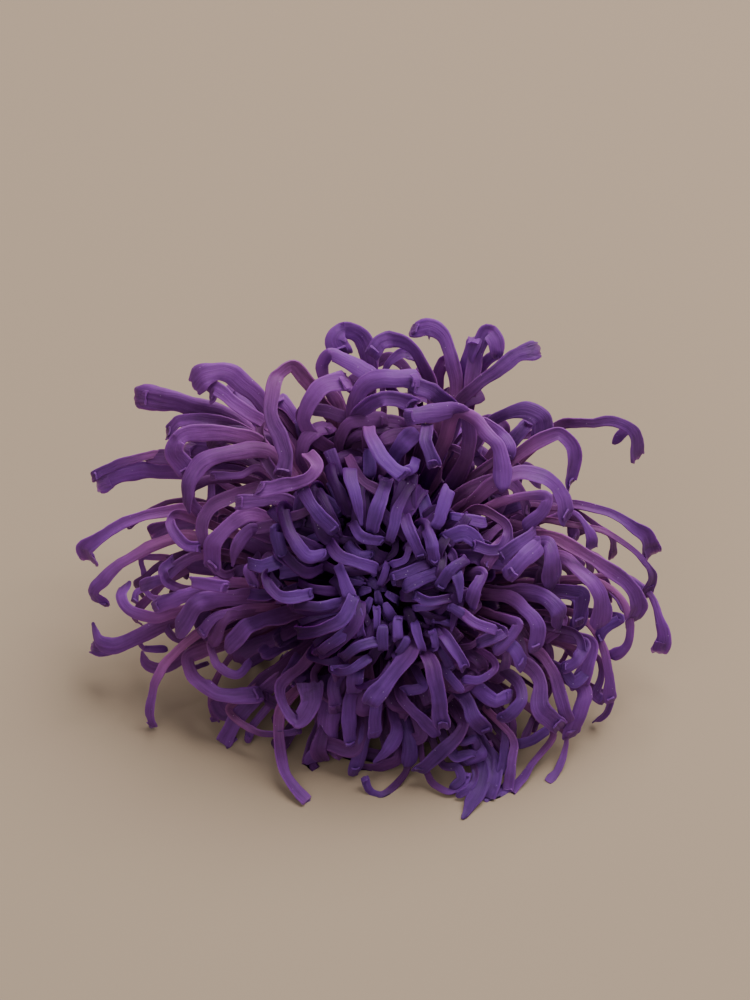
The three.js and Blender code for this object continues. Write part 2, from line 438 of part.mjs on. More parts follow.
// A turned piece round the flower's axis: profile points [radius, z] from the top of the axis to the bottom.
function turned(profile, sides) {
  const geometry = new THREE.LatheGeometry(
    profile.map(([r, z]) => new THREE.Vector2(r, z)).reverse(),
    sides,
  );
  const flat = geometry.toNonIndexed().attributes.position;
  const position = [];
  for (let i = 0; i < flat.count; i++) {
    // the lathe turns about y: y becomes the flower's z
    const p = toRow(v(flat.getX(i), -flat.getZ(i), flat.getY(i)));
    p.z = Math.max(p.z, 0);
    position.push(...p.toArray());
  }
  return solid(position);
}

function meshOf(made, name, colour, roughness) {
  const m = made.getMesh();
  const position = new Float32Array(m.numVert * 3);
  for (let i = 0; i < m.numVert; i++)
    for (let k = 0; k < 3; k++) position[3 * i + k] = m.vertProperties[i * m.numProp + k];
  const geometry = new THREE.BufferGeometry();
  geometry.setAttribute("position", new THREE.BufferAttribute(position, 3));
  geometry.setIndex(new THREE.BufferAttribute(new Uint32Array(m.triVerts), 1));
  geometry.computeVertexNormals();
  const material = new THREE.MeshStandardMaterial({ color: colour, roughness, metalness: 0 });
  const mesh = new THREE.Mesh(geometry, material);
  mesh.name = name;
  return mesh;
}

// Crossing florets can shut in a bubble; only the body itself is kept.
function bodyOf(made) {
  const bodies = made.decompose().filter((b) => b.volume() > 0);
  return bodies.sort((a, b) => b.volume() - a.volume())[0];
}

// ---------------------------------------------------------------- bloom
const coreProfile = [];
for (let i = 0; i <= 4; i++) {
  const a = (i / 4) * (Math.PI / 2);
  coreProfile.push([CORE_RADIUS * Math.sin(a), HUB[2] + CORE_DEPTH * Math.cos(a)]);
}
coreProfile.push([BACK_RADIUS, BACK_PLANE], [0, BACK_PLANE]);
const florets = HERO.filter((line) => line[0] >= SLIMMEST).map((line) =>
  floret(centreLine(line), line[0], line[4]),
);
for (const [width, points] of [...skirt(), ...eye()])
  florets.push(floret(points.map((p) => v(...p)), width, CUT));
const roomForCalyx = turned(
  [
    [0, BACK_PLANE],
    [BACK_RADIUS + 1.3, BACK_PLANE],
    [BACK_RADIUS + 1.3, BACK_PLANE - 2],
    [BACK_RADIUS, BACK_PLANE - 5.2],
    [STUB_RADIUS + 1.4, BACK_PLANE - 7.6],
    [STUB_RADIUS + 1.4, STUB_END - 2],
    [0, STUB_END - 2],
  ],
  14,
);
const bloom = bodyOf(
  wasm.Manifold.union([turned(coreProfile, 14), ...florets]).subtract(roomForCalyx),
);

// ---------------------------------------------------------------- calyx and the end of the peduncle
const top = BACK_PLANE - CALYX_GAP;
const dish = turned(
  [
    [0, top],
    [CALYX_RADIUS * 0.9, top],
    [CALYX_RADIUS, top - 1],
    [CALYX_RADIUS * 0.9, top - 3],
    [CALYX_RADIUS * 0.62, top - 4.6],
    [STUB_RADIUS * 1.25, CALYX_FLOOR],
    [STUB_RADIUS, CALYX_FLOOR - 1],
    [STUB_RADIUS, STUB_END],
    [0, STUB_END],
  ],
  20,
);
// Bracts in rows: count, width, then radius and depth of the root, the belly and the tip.
const BRACTS = [
  [9, 2.5, 2.4, -30.6, 5.4, -30.3, 7.2, -28.9],
  [12, 2.4, 4.4, -29.3, 7.0, -28.9, 8.2, -27.2],
  [15, 2.2, 5.8, -27.6, 7.6, -27.2, 8.6, -25.9],
];
const bracts = BRACTS.flatMap(([count, width, ...rz], row) =>
  Array.from({ length: count }, (_, i) => {
    const a = ((i + 0.37 * row) / count) * 2 * Math.PI;
    const points = [0, 1, 2].map((k) => v(rz[2 * k] * Math.cos(a), rz[2 * k] * Math.sin(a), rz[2 * k + 1]));
    return floret(points, width, POINT);
  }),
);
const calyx = bodyOf(wasm.Manifold.union([dish, ...bracts]));

const group = new THREE.Group();
group.add(meshOf(bloom, "bloom", 0x56377f, 0.75));
group.add(meshOf(calyx, "calyx", 0x3f3a2c, 0.85));
export default group;
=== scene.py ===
# A preserved spider chrysanthemum head, dyed purple, lying on its back with its face up and forward.
# Metres in Blender; the florets' routes are in millimetres in the head's own face frame:
# x right, y up the face, z out of the face, origin at the eye of the crown.
import math
from collections import namedtuple
from functools import partialmethod

import bmesh
import bpy
from mathutils import Matrix, Vector


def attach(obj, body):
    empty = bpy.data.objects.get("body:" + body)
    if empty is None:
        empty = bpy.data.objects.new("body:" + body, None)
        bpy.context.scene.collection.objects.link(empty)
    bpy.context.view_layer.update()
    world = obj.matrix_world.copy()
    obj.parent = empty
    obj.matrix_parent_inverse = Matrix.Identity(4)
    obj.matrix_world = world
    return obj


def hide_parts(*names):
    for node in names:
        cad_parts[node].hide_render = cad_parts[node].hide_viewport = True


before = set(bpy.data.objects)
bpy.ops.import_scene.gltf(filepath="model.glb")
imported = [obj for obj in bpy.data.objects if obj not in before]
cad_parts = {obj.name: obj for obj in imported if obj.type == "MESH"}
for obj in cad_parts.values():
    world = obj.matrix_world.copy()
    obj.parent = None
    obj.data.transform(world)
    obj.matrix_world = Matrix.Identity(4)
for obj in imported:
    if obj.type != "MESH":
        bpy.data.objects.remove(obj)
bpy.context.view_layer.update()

# ---------------------------------------------------------------------------- view, light and floor
# The head is looked at straight into its face, 50 degrees above the surface that it lies on. One broad
# soft light stands above, behind and to the right, with a weak fill in front, over a plain pale floor.
FACE_ELEVATION = math.radians(50)
SIN, COS = math.sin(FACE_ELEVATION), math.cos(FACE_ELEVATION)
AXIS = Vector((0, -COS, SIN))
MM = 0.001
EYE_HEIGHT = 27.6
MIDDLE = (-0.45, 8.7)
SENSOR, VIEW_DISTANCE, VIEW_HEIGHT = 36, 1.2, 0.137
VIEW_CENTRE = (-0.4, 12.1, 0)
HEAD_MIDDLE = Vector((0, 0, 0.02))
AIR_COLOUR, AIR_STRENGTH = (0.97, 0.92, 1.0, 1), 0.26
FLOOR_REACH, FLOOR_COLOUR = 3, (0.352, 0.266, 0.185, 1)


def lay_down(x, y, z):
    """A point of the face frame, in millimetres, where the head lies, in metres."""
    return MM * Vector((x - MIDDLE[0], y * SIN - z * COS - MIDDLE[1], EYE_HEIGHT + y * COS + z * SIN))


def placed(name, data):
    """A new object in the scene."""
    made = bpy.data.objects.new(name, data)
    bpy.context.collection.objects.link(made)
    return made


def aim(made, place, way):
    """Puts a camera or a lamp at a place and turns it the given way."""
    made.location = place
    made.rotation_mode = "QUATERNION"
    made.rotation_quaternion = way.to_track_quat("-Z", "Y")


camera_data = bpy.data.cameras.new("view")
camera_data.sensor_width = SENSOR
camera_data.lens = SENSOR * VIEW_DISTANCE / VIEW_HEIGHT
camera_data.clip_start, camera_data.clip_end = 0.01, 20
camera = placed("view", camera_data)
aim(camera, lay_down(*VIEW_CENTRE) + AXIS * VIEW_DISTANCE, -AXIS)
bpy.context.scene.camera = camera


def soft_light(name, place, size, power, colour):
    data = bpy.data.lights.new(name, "AREA")
    data.shape, data.size, data.energy, data.color = "DISK", size, power, colour
    aim(placed(name, data), place, HEAD_MIDDLE - Vector(place))


soft_light("window", (0.32, 0.4, 0.88), 0.95, 17.4, (1.0, 0.97, 0.95))
soft_light("fill", (-0.3, -0.7, 0.8), 0.8, 2.6, (1.0, 0.95, 0.9))

world = bpy.data.worlds.new("studio")
world.use_nodes = True
air = world.node_tree.nodes["Background"].inputs
air["Color"].default_value, air["Strength"].default_value = AIR_COLOUR, AIR_STRENGTH
bpy.context.scene.world = world


def new_finish(name):
    """A new material, and the shader in it."""
    material = bpy.data.materials.new(name)
    material.use_nodes = True
    return material, material.node_tree.nodes["Principled BSDF"]


floor_finish, floor_shader = new_finish("plain pale floor")
floor_shader.inputs["Base Color"].default_value = FLOOR_COLOUR
floor_shader.inputs["Roughness"].default_value = 0.85
floor_mesh = bpy.data.meshes.new("floor")
corners = [(FLOOR_REACH * x, FLOOR_REACH * y, 0) for x, y in ((-1, -1), (1, -1), (1, 1), (-1, 1))]
floor_mesh.from_pydata(corners, [], [(0, 1, 2, 3)])
floor_mesh.materials.append(floor_finish)
floor = placed("floor", floor_mesh)

# ---------------------------------------------------------------------------- petal finish
# Preserved petal tissue: matt and a little waxy, dyed through, thin enough to glow warm where light
# comes from behind. Fine streaks and folds run along each floret, with pale specks that stand for dust
# grains and small painted glints, and its edges are lightened as a painted highlight. The colour holds
# painted light: it runs from painted shade at each floret's root to its lit tip, and old ones have dye
# faded to pink with a painted glow of light through the shafts, palest at the root.
# painted shade at the root, the middle, the lit tip; then faded pink with a painted glow at the root, and
# the tip
YOUNG_DYE_AND_SHADE = [(0.042, 0.003, 0.072), (0.095, 0.023, 0.160), (0.122, 0.036, 0.245)]
OLD_DYE_AND_GLOW = [(0.390, 0.112, 0.330), (0.194, 0.053, 0.275)]
SHADE = 0.86
# shares of the random tone, the streaks, the painted highlight on the edges, and the blotches
TONE_SHARE, STREAK_SHARE, RIM_HIGHLIGHT_SHARE, BLOTCH_SHARE = 0.5, 0.8, 0.22, 0.5
# pale specks, dust grains and small painted glints: their pitch, size, the share left bare and their
# paleness
GRAIN_PITCH, GRAIN_SIZE, BARE_SHARE, SPECK_AND_GLINT_PALENESS = 2600.0, 0.17, 0.972, 0.19
BLOTCH_PITCH, RIM_SHARPNESS = 420.0, 5.0


class Field:
    """An output in a node tree. Arithmetic on it adds Math nodes, or Vector Math ones on a vector."""

    def __init__(self, socket):
        self.socket, self.tree = socket, socket.id_data

    def beside(self, name):
        """Another output of its node."""
        return Field(self.socket.node.outputs[name])

    def maths(self, operation, *others):
        vector = self.socket.type in ("VECTOR", "RGBA")
        kind = "ShaderNodeVectorMath" if vector else "ShaderNodeMath"
        return make(self.tree, kind, enumerate((self, *others)), operation=operation)

    __add__ = partialmethod(maths, "ADD")
    __sub__ = partialmethod(maths, "SUBTRACT")
    __mul__ = partialmethod(maths, "MULTIPLY")
    __truediv__ = partialmethod(maths, "DIVIDE")
    __pow__ = partialmethod(maths, "POWER")
    __abs__ = partialmethod(maths, "ABSOLUTE")

    def __rsub__(self, other):
        return make(self.tree, "ShaderNodeMath", {0: other, 1: self}, operation="SUBTRACT")

    def parts(self):
        """Its X, Y and Z."""
        x = make(self.tree, "ShaderNodeSeparateXYZ", {0: self})
        return x, x.beside("Y"), x.beside("Z")


def fill(node, inputs):
    """Sets inputs of a node, by name or number, to values or to the fields that feed them."""
    for key, value in inputs.items():
        if isinstance(value, Field):
            node.id_data.links.new(value.socket, node.inputs[key])
        else:
            node.inputs[key].default_value = value


def make(tree, kind, inputs=(), output=0, **settings):
    """Adds a node to a tree and returns one of its outputs."""
    node = tree.nodes.new(kind)
    for key, value in settings.items():
        setattr(node, key, value)
    fill(node, dict(inputs))
    return Field(node.outputs[output])


def new_group(name, tree_type, inputs, outputs):
    """A node group and its inputs by name. Each is written with its type, or the number that it holds."""
    tree = bpy.data.node_groups.new(name, tree_type)
    for title, value in inputs.items():
        kind = {int: "Int", float: "Float"}.get(type(value), value)
        socket = tree.interface.new_socket(title, in_out="INPUT", socket_type=f"NodeSocket{kind}")
        if kind != value:
            socket.default_value = value
    for title, kind in outputs.items():
        tree.interface.new_socket(title, in_out="OUTPUT", socket_type=f"NodeSocket{kind}")
    return tree, {socket.name: Field(socket) for socket in tree.nodes.new("NodeGroupInput").outputs}


def combined(tree, x=0.0, y=0.0, z=0.0):
    return make(tree, "ShaderNodeCombineXYZ", enumerate((x, y, z)))


def noise(vector, scale, detail, output=0, **inputs):
    inputs = {"Vector": vector, "Scale": scale, "Detail": detail, **inputs}
    return make(vector.tree, "ShaderNodeTexNoise", inputs, output)


def attribute(tree, name, output="Fac"):
    return make(tree, "ShaderNodeAttribute", output=output, attribute_name=name)


def ramp(share, colours):
    """Evenly spaced colours, blended as a share goes from 0 to 1."""
    blended = make(share.tree, "ShaderNodeValToRGB", {0: share})
    stops = blended.socket.node.color_ramp.elements
    stops[0].color, stops[1].color = (*colours[0], 1), (*colours[-1], 1)
    for i in range(1, len(colours) - 1):
        stops.new(i / (len(colours) - 1)).color = (*colours[i], 1)
    return blended


def mixed(share, one, other):
    return make(share.tree, "ShaderNodeMix", {0: share, 6: one, 7: other}, 2, data_type="RGBA")


def bump(height, strength, distance):
    inputs = {"Height": height, "Strength": strength, "Distance": distance}
    return make(height.tree, "ShaderNodeBump", inputs)


def along_streaks():
    """Fine streaks along the tissue: how pale each one is, and their height."""
    inputs = {"Strand": "Vector", "Across": 2600.0, "Along": 160.0, "Contrast": 1.0}
    outputs = {"Pale": "Float", "Height": "Float"}
    tree, given = new_group("streaks along the tissue", "ShaderNodeTree", inputs, outputs)
    stretch = combined(tree, given["Across"], given["Along"], given["Across"])
    streak = noise(given["Strand"] * stretch, 1.0, 3.0, Roughness=0.6)
    fill(tree.nodes.new("NodeGroupOutput"), {"Pale": (streak - 0.5) * given["Contrast"], "Height": streak})
    return tree


STREAKS = along_streaks()


def streaked(tree, **inputs):
    """The streaks on a piece: how pale each one is, with their height beside."""
    inputs["Strand"] = attribute(tree, "strand", "Vector")
    return make(tree, "ShaderNodeGroup", inputs, node_tree=STREAKS)


petal_finish, petal_shader = new_finish("preserved petal")
tree = petal_finish.node_tree
# painted light: the share of light at each point runs the ramps from painted shade to the lit colour
lit, tone, _ = attribute(tree, "look", "Vector").parts()
dye_and_painted_light = mixed(attribute(tree, "age"), ramp(lit, YOUNG_DYE_AND_SHADE), ramp(lit, OLD_DYE_AND_GLOW))
pale = streaked(tree, Contrast=1.1)
strand = attribute(tree, "strand", "Vector")
blotch = noise(strand, BLOTCH_PITCH, 4.0, Roughness=0.6)
# painted highlight: the edges of each floret are lightened
rim_highlight = abs(attribute(tree, "side")) ** RIM_SHARPNESS
shade = (tone - 0.5) * TONE_SHARE + SHADE + pale * STREAK_SHARE + rim_highlight * RIM_HIGHLIGHT_SHARE
shade = shade + (blotch - 0.5) * BLOTCH_SHARE
# pale specks: dust grains and small painted glints
grain = make(tree, "ShaderNodeTexVoronoi", {"Vector": strand, "Scale": GRAIN_PITCH})
chosen = grain.beside("Color").parts()[0].maths("GREATER_THAN", BARE_SHARE)
speck_and_glint = grain.maths("LESS_THAN", GRAIN_SIZE) * chosen * SPECK_AND_GLINT_PALENESS
fill(
    petal_shader,
    {
        "Base Color": dye_and_painted_light * shade + speck_and_glint,
        "Roughness": blotch * 0.3 + 0.37,
        "Normal": bump(blotch * 0.6 + pale.beside("Height"), 0.8, 0.00013),
        "Subsurface Weight": 0.4,
        "Subsurface Radius": (0.8, 0.35, 1.0),
        "Subsurface Scale": 0.0009,
        "Specular IOR Level": 0.14,
        "Sheen Weight": 0.02,
        "Sheen Roughness": 0.4,
        "Sheen Tint": (0.75, 0.6, 1.0, 1),
    },
)

# ---------------------------------------------------------------------------- florets
# Every petal of a spider chrysanthemum is a floret: a tube, pressed flat, that grows out of the
# receptacle, hooks over and ends in a small split mouth. These, in the order of the head's regions,
# follow routes given one by one; the youngest, the oldest and those behind come by rule in the next section.
CUT, POINT, KNOB, ROUND, SPOON = range(5)
# width, depth z at the first point, depth at the tip, how far it arches forward between them, tip
# kind, then the x, y of the points from where it comes out of the head to its tip
UPPER_LEFT = [
    [3, -13, -13, 1, CUT, -20, 23.3, -25, 24.7, -29.4, 25.8, -33, 26.5],
    [2.9, -10, -9, 2, KNOB, -15.5, 25.2, -18.5, 28.2, -21.3, 29.8, -24, 29.3, -25.5, 27.8],
    [1.9, -9, -9, 1.5, CUT, -14, 21.4, -17, 23.6, -20, 25.8, -22.5, 27.5, -22.9, 26.5],
    [1.8, -11, -12, 1, CUT, -18, 21.5, -22, 22.8, -25.5, 23.3, -27.5, 22.8, -28.8, 21.3],
    [2.4, -7, -6, 2, CUT, -17, 20.2, -23, 21.4, -27, 20.8, -28, 18.8, -26.2, 16.2],
    [2.5, -6, -6, 2, POINT, -15, 18.9, -20, 18.6, -24, 17.4, -25.8, 15, -26.3, 12, -26, 10.4],
    [1.1, -8, -7, 0.5, CUT, -16.3, 16.5, -19, 15.6, -22.7, 15.3],
    [1.9, -2, -1, 1.5, CUT, -9.5, 18.3, -8.3, 16.8, -9.3, 15.3, -12, 14.3, -16.1, 13.6],
    [1.9, -4, -4, 1, CUT, -13, 12.2, -18.9, 11.8],
    [2.2, -15, -3, 4, CUT, -2.2, 17.4, -5.1, 21.8, -7.6, 25.2, -9.3, 27.9, -11.8, 30.6, -14.1, 28.7,
     -14.4, 26, -14.5, 23.1, -13.1, 20.2, -12.6, 18.3, -13.1, 16],
    [2.4, -14, -6, 4, CUT, -2.9, 17.9, -6.4, 19.1, -8.7, 20.6, -10, 23.1, -9.3, 26, -7.4, 27.9, -4.5, 28.3],
    [1.6, -16, -13, 0, CUT, -3.1, 20.6, -5.1, 24.5, -6.4, 27.2],
    [2.3, -7, -9, 1.5, CUT, -17.4, 10.2, -20.5, 8.6, -22.6, 6.2, -22.8, 3],
    [2, -6, -7, 1, POINT, -17.4, 8, -19.3, 5.8, -19.9, 3.2],
    [1.1, -9, -9, 1, CUT, -22.9, 15, -22.7, 10.2],
]
TOP = [
    [2.6, -12, -9, 1.5, CUT, -1.5, 28, -1.2, 31, -2, 34, -3.3, 35.2, -4.8, 35.4, -5.8, 34.2, -5, 32.6],
    [2.1, -11, -6, 2, CUT, -5, 24, -7.3, 28.5, -7.6, 30.8, -6.5, 32, -4.5, 31.4, -0.7, 29.3],
    [2.1, -12, -7, 2, CUT, 8, 22, 7.3, 28, 6.4, 30.5, 5.3, 32.5, 3.6, 33.9, 0.3, 33.8, -0.7, 32.5],
    [1.5, -9, -9, 1, SPOON, 1, 29.5, 1.8, 31.3, 3.2, 32.3, 5, 31.8],
    [2.1, -15, -12, 2, CUT, 10, 20, 10.8, 27.5, 10.6, 30.5, 9.8, 33.2, 8.6, 35.1, 6.8, 36, 5, 35.7],
    [2.6, -8, -4, 2, CUT, -3.6, 23, -3, 26.5, -1, 28.7, 2, 28.9, 5.4, 28.6],
    [2.3, -7, -4, 1, CUT, 10.8, 24.3, 9, 26, 6.5, 27.3, 4.6, 27.7],
    [2.2, -7, -3, 2, CUT, -2.8, 23.3, -1.5, 25.2, 1, 26, 4.6, 25.4],
    [2.4, -7, -1.5, 1, CUT, 12, 17, 12.3, 22, 11.3, 24.2, 8, 24.1, 4, 23.5],
    [2.1, -6, -3, 2, ROUND, 9, 20, 10.8, 23.8, 13.2, 23, 15.5, 20.8, 16.9, 18.3, 17, 13.8],
    [1.5, -7, -6, 1, CUT, 14.5, 22.8, 17.3, 21, 18.2, 19.3, 17.8, 18],
    [1.7, -3, -0.5, 1, CUT, 6.9, 22.2, 6.5, 20, 7.6, 17.2],
    [2.2, -5, -4, 1, CUT, 2.2, 18.2, 3.7, 20, 5, 21.3],
    [2, -3, 0.5, 1.5, CUT, -1.3, 22, -0.6, 20, 1, 17.4, 3.3, 15.6],
]
UPPER_RIGHT = [
    [1.9, -16, -12, 1, CUT, 11.4, 27, 12.2, 31, 13.2, 34.2],
    [2.2, -14, -12, 1, ROUND, 12, 24, 13.2, 30, 14, 33.5, 15.2, 35.2, 16.3, 34, 16.4, 32.4],
    [1.4, -15, -13, 0, CUT, 13.5, 29, 15, 31.2, 16.8, 32.4],
    [2.1, -13, -11, 1.5, KNOB, 11, 25.5, 13.5, 27.8, 16.5, 30, 19.5, 32.2, 22.3, 33],
    [2.8, -10, -9, 2, SPOON, 15.5, 22.7, 18, 24.2, 20.9, 24.3, 22.8, 23.1, 22.8, 21],
    [2.1, -7, -8, 2.5, CUT, 18, 17.5, 20.5, 19.2, 23.5, 20.8, 25.2, 21.2, 26.6, 19.6, 26.9, 17.5,
     26.3, 14.6],
    [1.8, -12, -11, 1, CUT, 16, 17, 19, 20.8, 21, 22.7],
    [2.4, -13, -15, 3, SPOON, 24.9, 22.2, 28.9, 22.8, 33.4, 22.8, 35.6, 21.3, 36.2, 18],
]
RIGHT = [
    [2.6, -4, -7, 1, CUT, 16, 14.5, 20, 15.8, 23.5, 15, 25.3, 12.5, 26, 9.8],
    [1.7, -5, -4, 2, CUT, 15, 11, 20, 12.6, 23, 12.3, 22.6, 10.5, 20.3, 8.4],
    [2.7, -12, -15, 3, SPOON, 26.5, 11.2, 31, 10.6, 34.6, 8.9, 37, 7, 37.8, 4.6],
    [1.9, -10, -16, 3, SPOON, 23, 9.2, 28, 8.6, 31, 7.9, 34, 6.2, 36.8, 3.5, 37.9, 1.5, 37.4, -1],
    [1.5, -9, -10, 1, SPOON, 26.8, 10.4, 28.3, 9, 29.4, 7.3, 29.6, 5.3],
    [2.5, -4, -6, 1.5, ROUND, 23.4, 6.2, 24.2, 3.5, 24.1, 0.4],
    [2.4, -7, -12, 3, CUT, 22.5, 7.2, 27, 5.5, 31, 3, 34.5, 0.5, 35.8, -2, 35, -4.5],
    [2.5, -8, -10, 3, CUT, 25.2, 4.2, 27.6, 2.6, 29.9, 0.4, 30.8, -2.4, 30.6, -5],
    [1.3, -14, -16, 1, CUT, 27, 5.2, 30, 4.2, 34.3, 1.6, 37.2, -1],
    [2, -16, -18, 1, SPOON, 35, 1.4, 38, -1.2, 39.2, -4.2, 39.6, -7, 39.1, -9],
    [1.4, -12, -14, 2, CUT, 30, 1, 33.8, -1.5, 34.8, -5, 34.2, -8.3, 32.2, -9.8],
    [1.5, -14, -16, 2, CUT, 28, -4, 31, -8, 32, -12, 32.2, -15.6],
    [1.2, -15, -17, 0.5, CUT, 30.8, -10, 30.9, -12.8, 30.2, -14.8, 31.2, -15.8],
    [1.2, -17, -19, 0.5, CUT, 32.3, -15.5, 31.8, -17, 30.2, -18.6],
    [2.2, -13, -15, 1, CUT, 28.3, -14, 28.2, -17, 26.8, -20.3],
    [2.2, -11, -13, 1, CUT, 29.5, -8, 28.8, -11, 27.8, -13.5],
    [2, -11, -14, 2, CUT, 22.5, -9, 25, -14, 26, -17.5, 26.3, -19],
    [2.4, -10, -11, 2, CUT, 22, -12, 22.5, -16.5, 25, -19],
    [1.1, -15, -13.4, 0, KNOB, 26.1, -20.7, 25.9, -23.2, 24.9, -25.1, 23.6, -26.9],
    [1.3, -14, -12.2, 0, CUT, 24.3, -20.3, 21.2, -24.6, 18.6, -28.2],
    [1.4, -12, -12.4, 1, CUT, 18.8, -21.3, 18.4, -24.4, 18, -28.2],
]
RIGHT_INNER = [
    [1.5, -3, -3, 1, CUT, 11.2, 9.6, 14.6, 9],
    [1.6, -5, -2.5, 1.5, CUT, 13.8, 10.9, 16.5, 9.6, 17.9, 8, 17.1, 5.8, 15.3, 5.4, 13.4, 6],
    [1.9, -4, -2, 1.5, CUT, 21.7, 7.8, 19.3, 6, 17.1, 4.4],
    [2.4, -3, -1, 1.5, CUT, 22.1, 6, 20.3, 4, 18.1, 2],
    [1.5, -5, -3, 1, CUT, 18.1, 3.2, 14.8, 3.4],
    [1.8, -1, -1.5, 1, CUT, 14.2, 1.8, 13.2, -0.4, 12.8, -2.4],
    [2, -6, -5, 2, CUT, 17.5, -1, 20.5, -3, 22, -5.5, 21.8, -8.2],
    [2.4, -5, -7, 2, ROUND, 22.5, -1, 24.9, -3.2, 25.1, -5],
    [2, -8, -9, 1, CUT, 28.3, -1, 27.7, -4.8],
    [1.7, -9, -9, 1, CUT, 28.7, -8, 27.3, -10, 25.7, -11],
    [1.4, -2, -2, 1.2, CUT, 11.2, -3, 13.2, -4.6, 15.9, -5.6],
    [1.5, -3, -3, 1, CUT, 17.3, -6, 14.2, -7.6],
    [1.5, -3, -3.5, 1.2, CUT, 19.3, -5, 16.3, -8.8],
]
LEFT = [
    [1.3, -16, -18, 1, CUT, -24, 17, -30, 18.3, -35, 17.6, -39.4, 15.4],
    [2.5, -17, -18, 1, KNOB, -24, 15.6, -31, 16, -36, 15.6, -39.4, 14.5],
    [2.5, -15, -19, 2.5, SPOON, -24, 11, -31, 10.2, -35, 8.9, -38.4, 6.9, -40.2, 5.6, -39.9, 3.8],
    [1.5, -9, -8, 2, CUT, -27.6, 10.2, -28.8, 9.5, -28.3, 8, -26.5, 6, -24.8, 5.8],
    [2, -15, -20, 2.5, CUT, -27, 7, -31, 6, -35, 3.9, -38.3, 1.2, -39.7, -0.8, -38.6, -2.2],
    [1, -17, -19, 0, CUT, -32.8, 4, -32.6, 2.3, -32.4, 0.6],
    [1.6, -12, -12, 2.5, CUT, -23.4, 4.6, -27.2, 3.3, -30.1, 1, -32.4, 0.2],
    [1.4, -11, -10, 2, CUT, -27.6, -0.2, -29.4, 1, -29.7, 2.5, -28.4, 3.7],
    [1.7, -15, -17, 2, CUT, -26, -3, -31, -4.2, -34.6, -3.2, -35.8, -1.2, -35.1, 0.2],
    [2.3, -17, -20, 2, POINT, -28, -4.7, -33, -6.9, -37, -8.2, -39, -7.6, -39.7, -5.2],
    [1, -18, -20, 0.5, CUT, -30, -5, -33, -6.8, -32.6, -8.4, -29.4, -8.5],
    [1.4, -15, -19.5, 3, CUT, -18, -3, -24, -5.9, -28, -9, -30.8, -13, -31.8, -17, -31.2, -19.5],
    [1.8, -6, -6, 1.5, CUT, -25.7, 0.8, -21.1, 0.1],
    [2.1, -9, -12, 1.5, CUT, -25.7, -0.6, -30.9, -2.5],
    [2.6, -7, -10, 1.5, ROUND, -24.7, -2.1, -27.6, -6],
    [1.4, -9, -11, 1, CUT, -22, -3.8, -24.4, -6.3],
    [2.5, -8, -10, 1.5, ROUND, -18.2, -5.5, -20.6, -8.2],
    [1.3, -13, -12, 1.5, CUT, -23.2, -7.9, -22, -10.8, -19.5, -11.9, -17.8, -10.4],
    [2.1, -16, -13, 2, CUT, -26.3, -9.8, -25.1, -12.6, -22.4, -14.6, -18.6, -15, -16.5, -14.8],
    [1.1, -15, -13, 1, CUT, -20.5, -16.9, -18.6, -19, -16.1, -20.3, -10.9, -19.8],
    [2.7, -10, -8, 1.5, SPOON, -13.4, -13.5, -13.1, -16.2, -11, -18.2, -9.4, -16.4, -9.4, -13],
    [2.2, -16, -17.5, 1, CUT, -19.4, -17.8, -21.3, -21.5],
    [1.2, -16, -17, 0.5, CUT, -17, -18.5, -18.2, -21.1],
    [1.7, -13.5, -11, 0.5, CUT, -13.3, -17, -13.6, -20.5, -13.2, -24.5, -12, -27.5, -10.2, -29.4],
    [2.8, -11, -12, 1, ROUND, -6.8, -16.9, -6.8, -21.2],
    [1.9, -14, -15, 0, ROUND, -7.1, -21.7, -9.8, -24.2],
    [1.9, -9, -10, 1, CUT, -6.1, -13.6, -5.7, -16.7],
    [1.3, -6, -7, 1, CUT, -17.8, 2.8, -17.3, 0.4],
]
